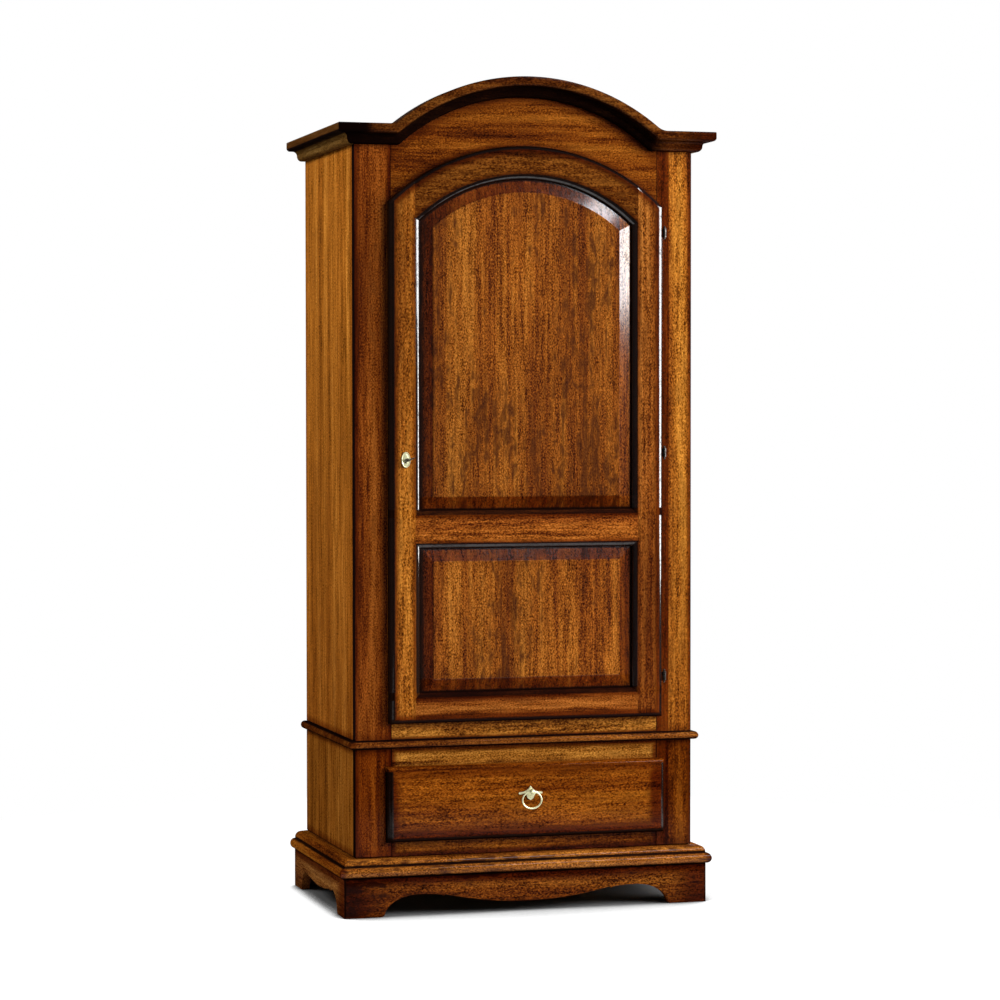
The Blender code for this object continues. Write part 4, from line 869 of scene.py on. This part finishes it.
for node, sight, seed in (("door_panel_lower", lower_sight, 46), ("door_panel_upper", upper_sight, 47)):
    fitted(skin(node + "_raised", rings_of(sight, panel_steps)),
           stained_walnut(node.replace("_", " ") + " walnut", "Z", seed, tint=(0.69, 0.68, 0.78), figure=1.8,
                          gloss=0.80, glaze_gloss=0.80, **panel_masks(sight)),
           "door", "walnut", node, turn=9)


# Hinges, lock and pull. Barrel hinges of dark bronze are screwed into stile and door, the lock with its nickel
# escutcheon and key sits on the left stile, and a nickel ring hangs from the drawer's pointed plate.

dark_bronze = worked_metal("dark bronze", srgb(66, 62, 58), srgb(24, 21, 19), 0.30, size=260.0)
for node in ("hinge_low_frame", "hinge_middle_frame", "hinge_high_frame"):
    fitted(sawn(node, node + "_knuckle"), dark_bronze, "carcass", "dark_bronze", node, soften=0.0002)
for node in ("hinge_low_door", "hinge_middle_door", "hinge_high_door"):
    fitted(sawn(node, node + "_knuckle"), dark_bronze, "door", "dark_bronze", node, soften=0.0002)
old_nickel = worked_metal("old nickel", srgb(222, 220, 178), srgb(176, 172, 130), 0.30, size=300.0, metallic=0.5)
dull_key = worked_metal("dull key nickel", srgb(120, 112, 96), srgb(58, 52, 42), 0.28, size=300.0)
fitted(sawn("escutcheon", "escutcheon_plate"), old_nickel, "door", "old_nickel", "escutcheon")
fitted(sawn("key", "key_blank"), dull_key, "key", "old_nickel", "key")
fitted(sawn("lock_case", "lock_case_box"), plated, "door", "steel", "lock_case", soften=0.0006)
fitted(sawn("lock_bolt", "lock_bolt_bar"), plated, "bolt", "old_nickel", "lock_bolt", soften=0.0004)
fitted(sawn("pull_plate", "pull_plate_casting"), old_nickel, "drawer", "old_nickel", "pull_plate", soften=0.0005)
fitted(sawn("pull_ring", "pull_ring_wire"), old_nickel, "ring", "old_nickel", "pull_ring")


# Cornice. An arched front moulding of dark-stained walnut with level shoulders is mitred to two straight side
# returns. Cap, fascia, soffit, hollow and ovolo are run along all three.

overhang = 0.053
cap_inside = 0.022
top_round = 0.003
fascia_height, fascia_round = 0.016, 0.009
soffit_width, hollow_size, ovolo_size = 0.008, 0.0125, 0.0125


def cornice_profile():
    """The cornice's section as (outward, down): rounded cap, rounded fascia, soffit, hollow, ovolo and back."""
    hollow_out = overhang - fascia_round - soffit_width
    hollow_top = fascia_height + fascia_round
    ovolo_out = hollow_out - hollow_size
    ovolo_down = cornice_height - hollow_top - hollow_size
    return np.vstack([
        [(-cap_inside, 0)],
        arc((overhang - top_round, top_round), top_round, -top_round, 90, 0, 6),
        arc((overhang - fascia_round, fascia_height), fascia_round, fascia_round, 0, 90, 10),
        arc((hollow_out, hollow_top + hollow_size), hollow_size, -hollow_size, 90, 180, 10),
        arc((ovolo_out - ovolo_size, cornice_height - ovolo_down), ovolo_size, ovolo_down, 0, 90, 10)[1:],
        [(play, cornice_height), (play, cap_thickness), (-cap_inside, cap_thickness)],
    ])


section = cornice_profile()
lines = []
for outward, down in section:
    right = np.vstack([[(case_half + outward, shoulder_z - down)], cornice_top_line(down)])
    whole = np.vstack([right, right[-2::-1] * (-1, 1)])
    lines.append(np.stack([whole[:, 0], np.full(len(whole), face_y - outward), whole[:, 1]], axis=-1))


def cornice_down(x, z):
    """How far below the cornice's top line a shaded point of the front lies, measured square to the line."""
    return (cornice_radius - from_crown(x, z)).most(shoulder_z - z)


def cornice_glaze_and_shade(x, y, z):
    """Painted shade under the fascia but for the lit right end, glaze along the top arris and on the left shoulder.
    """
    down = cornice_down(x, z)
    # Painted shade under the fascia, taken off at the lit right end.
    under = down.rise(0.019, 0.027, 0.0, 0.86) * (x - 0.36).rise(-0.03, 0.05, 1.0, 0.05)
    left_shoulder = x.rise(-0.46, -0.40, 0.96, 0.0) * z.rise(shoulder_z, shoulder_z + 0.03, 1.0, 0.0)
    return under.most(down.rise(0.0, 0.003, 0.5, 0.0)).most(left_shoulder)


def return_glaze_and_shade(x, y, z):
    """A line of painted shade under the fascia."""
    return (shoulder_z - z - 0.0225).size().rise(0.002, 0.006, 0.85, 0.0)


fitted(skin("cornice_front_moulding", np.stack(lines, axis=1)),
       stained_walnut("cornice walnut front", "X", 51, tint=(0.25, 0.24, 0.36), gloss=0.07, glaze=cornice_glaze_and_shade,
                      patina=edges("cornice_front", "x_low", "x_high", width=0.16)),
       "carcass", "walnut", "cornice_front", turn=40)
outward, down = section.T
for word, sign in (("left", -1), ("right", 1)):
    node = "cornice_" + word
    rings = np.stack([np.stack([sign * (case_half + outward), along, shoulder_z - down], axis=-1)
                      for along in (face_y - outward + joint_gap, np.full_like(down, back_y))])
    fitted(skin(node + "_moulding", rings),
           stained_walnut("cornice walnut " + word, "Y", 52 + sign, tones=side_tones, tint=(0.50, 0.70, 1.50),
                          patina=lambda x, y, z: (shoulder_z - z).rise(0.020, 0.028, 0.70, 0.0),
                          glaze=return_glaze_and_shade, gloss=0.0),
           "carcass", "walnut", node, turn=40)


# Studio. A pale round floor shows a soft shadow under the plinth, painted into its glow. The backdrop is white,
# and the room on the camera's side is dim. Softboxes stand at the front right, above it and beside the case, and
# a fill lamp lights the left side.

room = bpy.context.scene.world or bpy.data.worlds.new("studio")
bpy.context.scene.world = room
room.use_nodes = True
room.node_tree.nodes.clear()
air = Recipe(room.node_tree)


def seen_by(recipe, *rays):
    """1 to the named kinds of ray, such as Is Camera Ray, and 0 to all others."""
    found = recipe.node("LightPath", {}, {}, output=rays[0])
    for ray in rays[1:]:
        found = found.most(recipe.node("LightPath", {}, {}, output=ray))
    return found


direction = air.parts(air.node("TexCoord", {}, {}, output="Generated"))
ambient, dim_side = 0.16, 0.08
mirrored = seen_by(air, "Is Glossy Ray", "Is Transmission Ray")
backdrop = direction[1].rise(0.35, 0.75, dim_side, 1.0)
unseen = mirrored * backdrop + (1.0 - mirrored) * ambient
strength = seen_by(air, "Is Camera Ray").most(unseen)
background = air.tree.nodes.new("ShaderNodeBackground")
air.feed(background, {"Color": (1.0, 1.0, 1.0), "Strength": strength})
world_output = air.tree.nodes.new("ShaderNodeOutputWorld")
air.tree.links.new(background.outputs[0], world_output.inputs["Surface"])

floor_radius = 2.2
floor_rim = arc((0, 0), floor_radius, floor_radius, 0, 360, 96)[:-1]
floor_mesh = bpy.data.meshes.new("floor")
floor_mesh.from_pydata([(x, y, 0) for x, y in floor_rim], [], [list(range(len(floor_rim)))])
floor = bpy.data.objects.new("floor", floor_mesh)
bpy.context.scene.collection.objects.link(floor)
pale = Finish("pale floor")
plain = {"Roughness": 0.9, "Specular IOR Level": 0.0}
pale.feed(pale.surface, {"Base Color": (0.62, 0.62, 0.62), **plain})
# The floor's glow carries a painted shadow where little sky is seen from the floor, faded out to the left of the
# plinth.
shadow_reach = 0.42
least_sky, clear_sky = 0.42, 0.74
beside = (-plinth_half - pale.parts(pale.place())[0]).most(0.0) * 4.0
open_sky = pale.node("AmbientOcclusion", {"samples": 16}, {"Distance": shadow_reach}, output="AO") + beside
shadow = pale.blend(open_sky.rise(least_sky, clear_sky), (0.0, 0.0, 0.0), (1.0, 1.0, 1.0))
bright = pale.tree.nodes.new("ShaderNodeBsdfPrincipled")
pale.feed(bright, {"Base Color": (0.10, 0.10, 0.10), "Emission Strength": 1.0, "Emission Color": shadow, **plain})
shown = seen_by(pale, "Is Camera Ray", "Is Glossy Ray", "Is Transmission Ray")
lit_floor, white_floor = (Value(pale, shader.outputs[0]) for shader in (pale.surface, bright))
mixed = pale.node("MixShader", {}, {0: shown, 1: lit_floor, 2: white_floor})
pale.tree.links.new(mixed.socket, pale.tree.nodes["Material Output"].inputs["Surface"])
floor_mesh.materials.append(pale.material)


def lamp(name, place, aim, width, height, strength, colour=(1.0, 1.0, 1.0)):
    """A rectangular soft lamp at a place, turned to face a point."""
    data = bpy.data.lights.new(name, "AREA")
    data.shape = "RECTANGLE"
    data.size, data.size_y = width, height
    data.energy = strength
    data.color = colour
    made = bpy.data.objects.new(name, data)
    made.location = place
    across, deep, up = np.array(aim) - np.array(place)
    made.rotation_euler = (math.atan2(math.hypot(across, deep), -up), 0, math.atan2(deep, across) - math.pi / 2)
    bpy.context.scene.collection.objects.link(made)
    return made


lamp("key softbox", (3.75, -3.9, 2.5), (0, -0.27, 1.6), width=1.7, height=1.5, strength=185)
high_key = lamp("high key", (3.2, -3.6, 4.8), (0, -0.27, 1.2), width=1.1, height=1.1, strength=210)
lamp("upper front softbox", (2.2, -4.4, 3.7), (0, -0.27, 1.6), width=1.9, height=0.8, strength=100,
     colour=(0.90, 0.95, 1.0))
lamp("side softbox", (4.9, -1.6, 2.1), (0.3, -0.27, 1.7), width=3.0, height=2.6, strength=510)
side_fill = lamp("side fill", (-3.8, 0.6, 3.7), (-0.46, 0, 1.5), width=1.8, height=1.8, strength=170)
for unreflected in (high_key, side_fill):
    unreflected.visible_glossy = False

focal_pixels, frame_pixels = 2995.17, 1000
yaw, pitch, roll = (math.radians(angle) for angle in (16.4708, -1.6127, 0.0445))
camera_data = bpy.data.cameras.new("camera")
camera_data.sensor_width = 36.0
camera_data.lens = focal_pixels * camera_data.sensor_width / frame_pixels
camera = bpy.data.objects.new("camera", camera_data)
camera.location = (-2.3130, -7.83615, 1.3105)
camera.rotation_mode = "XYZ"
camera.rotation_euler = (math.pi / 2 + pitch, roll, -yaw)
bpy.context.scene.collection.objects.link(camera)
bpy.context.scene.camera = camera
bpy.context.scene.view_settings.view_transform = "Standard"

bpy.context.view_layer.update()
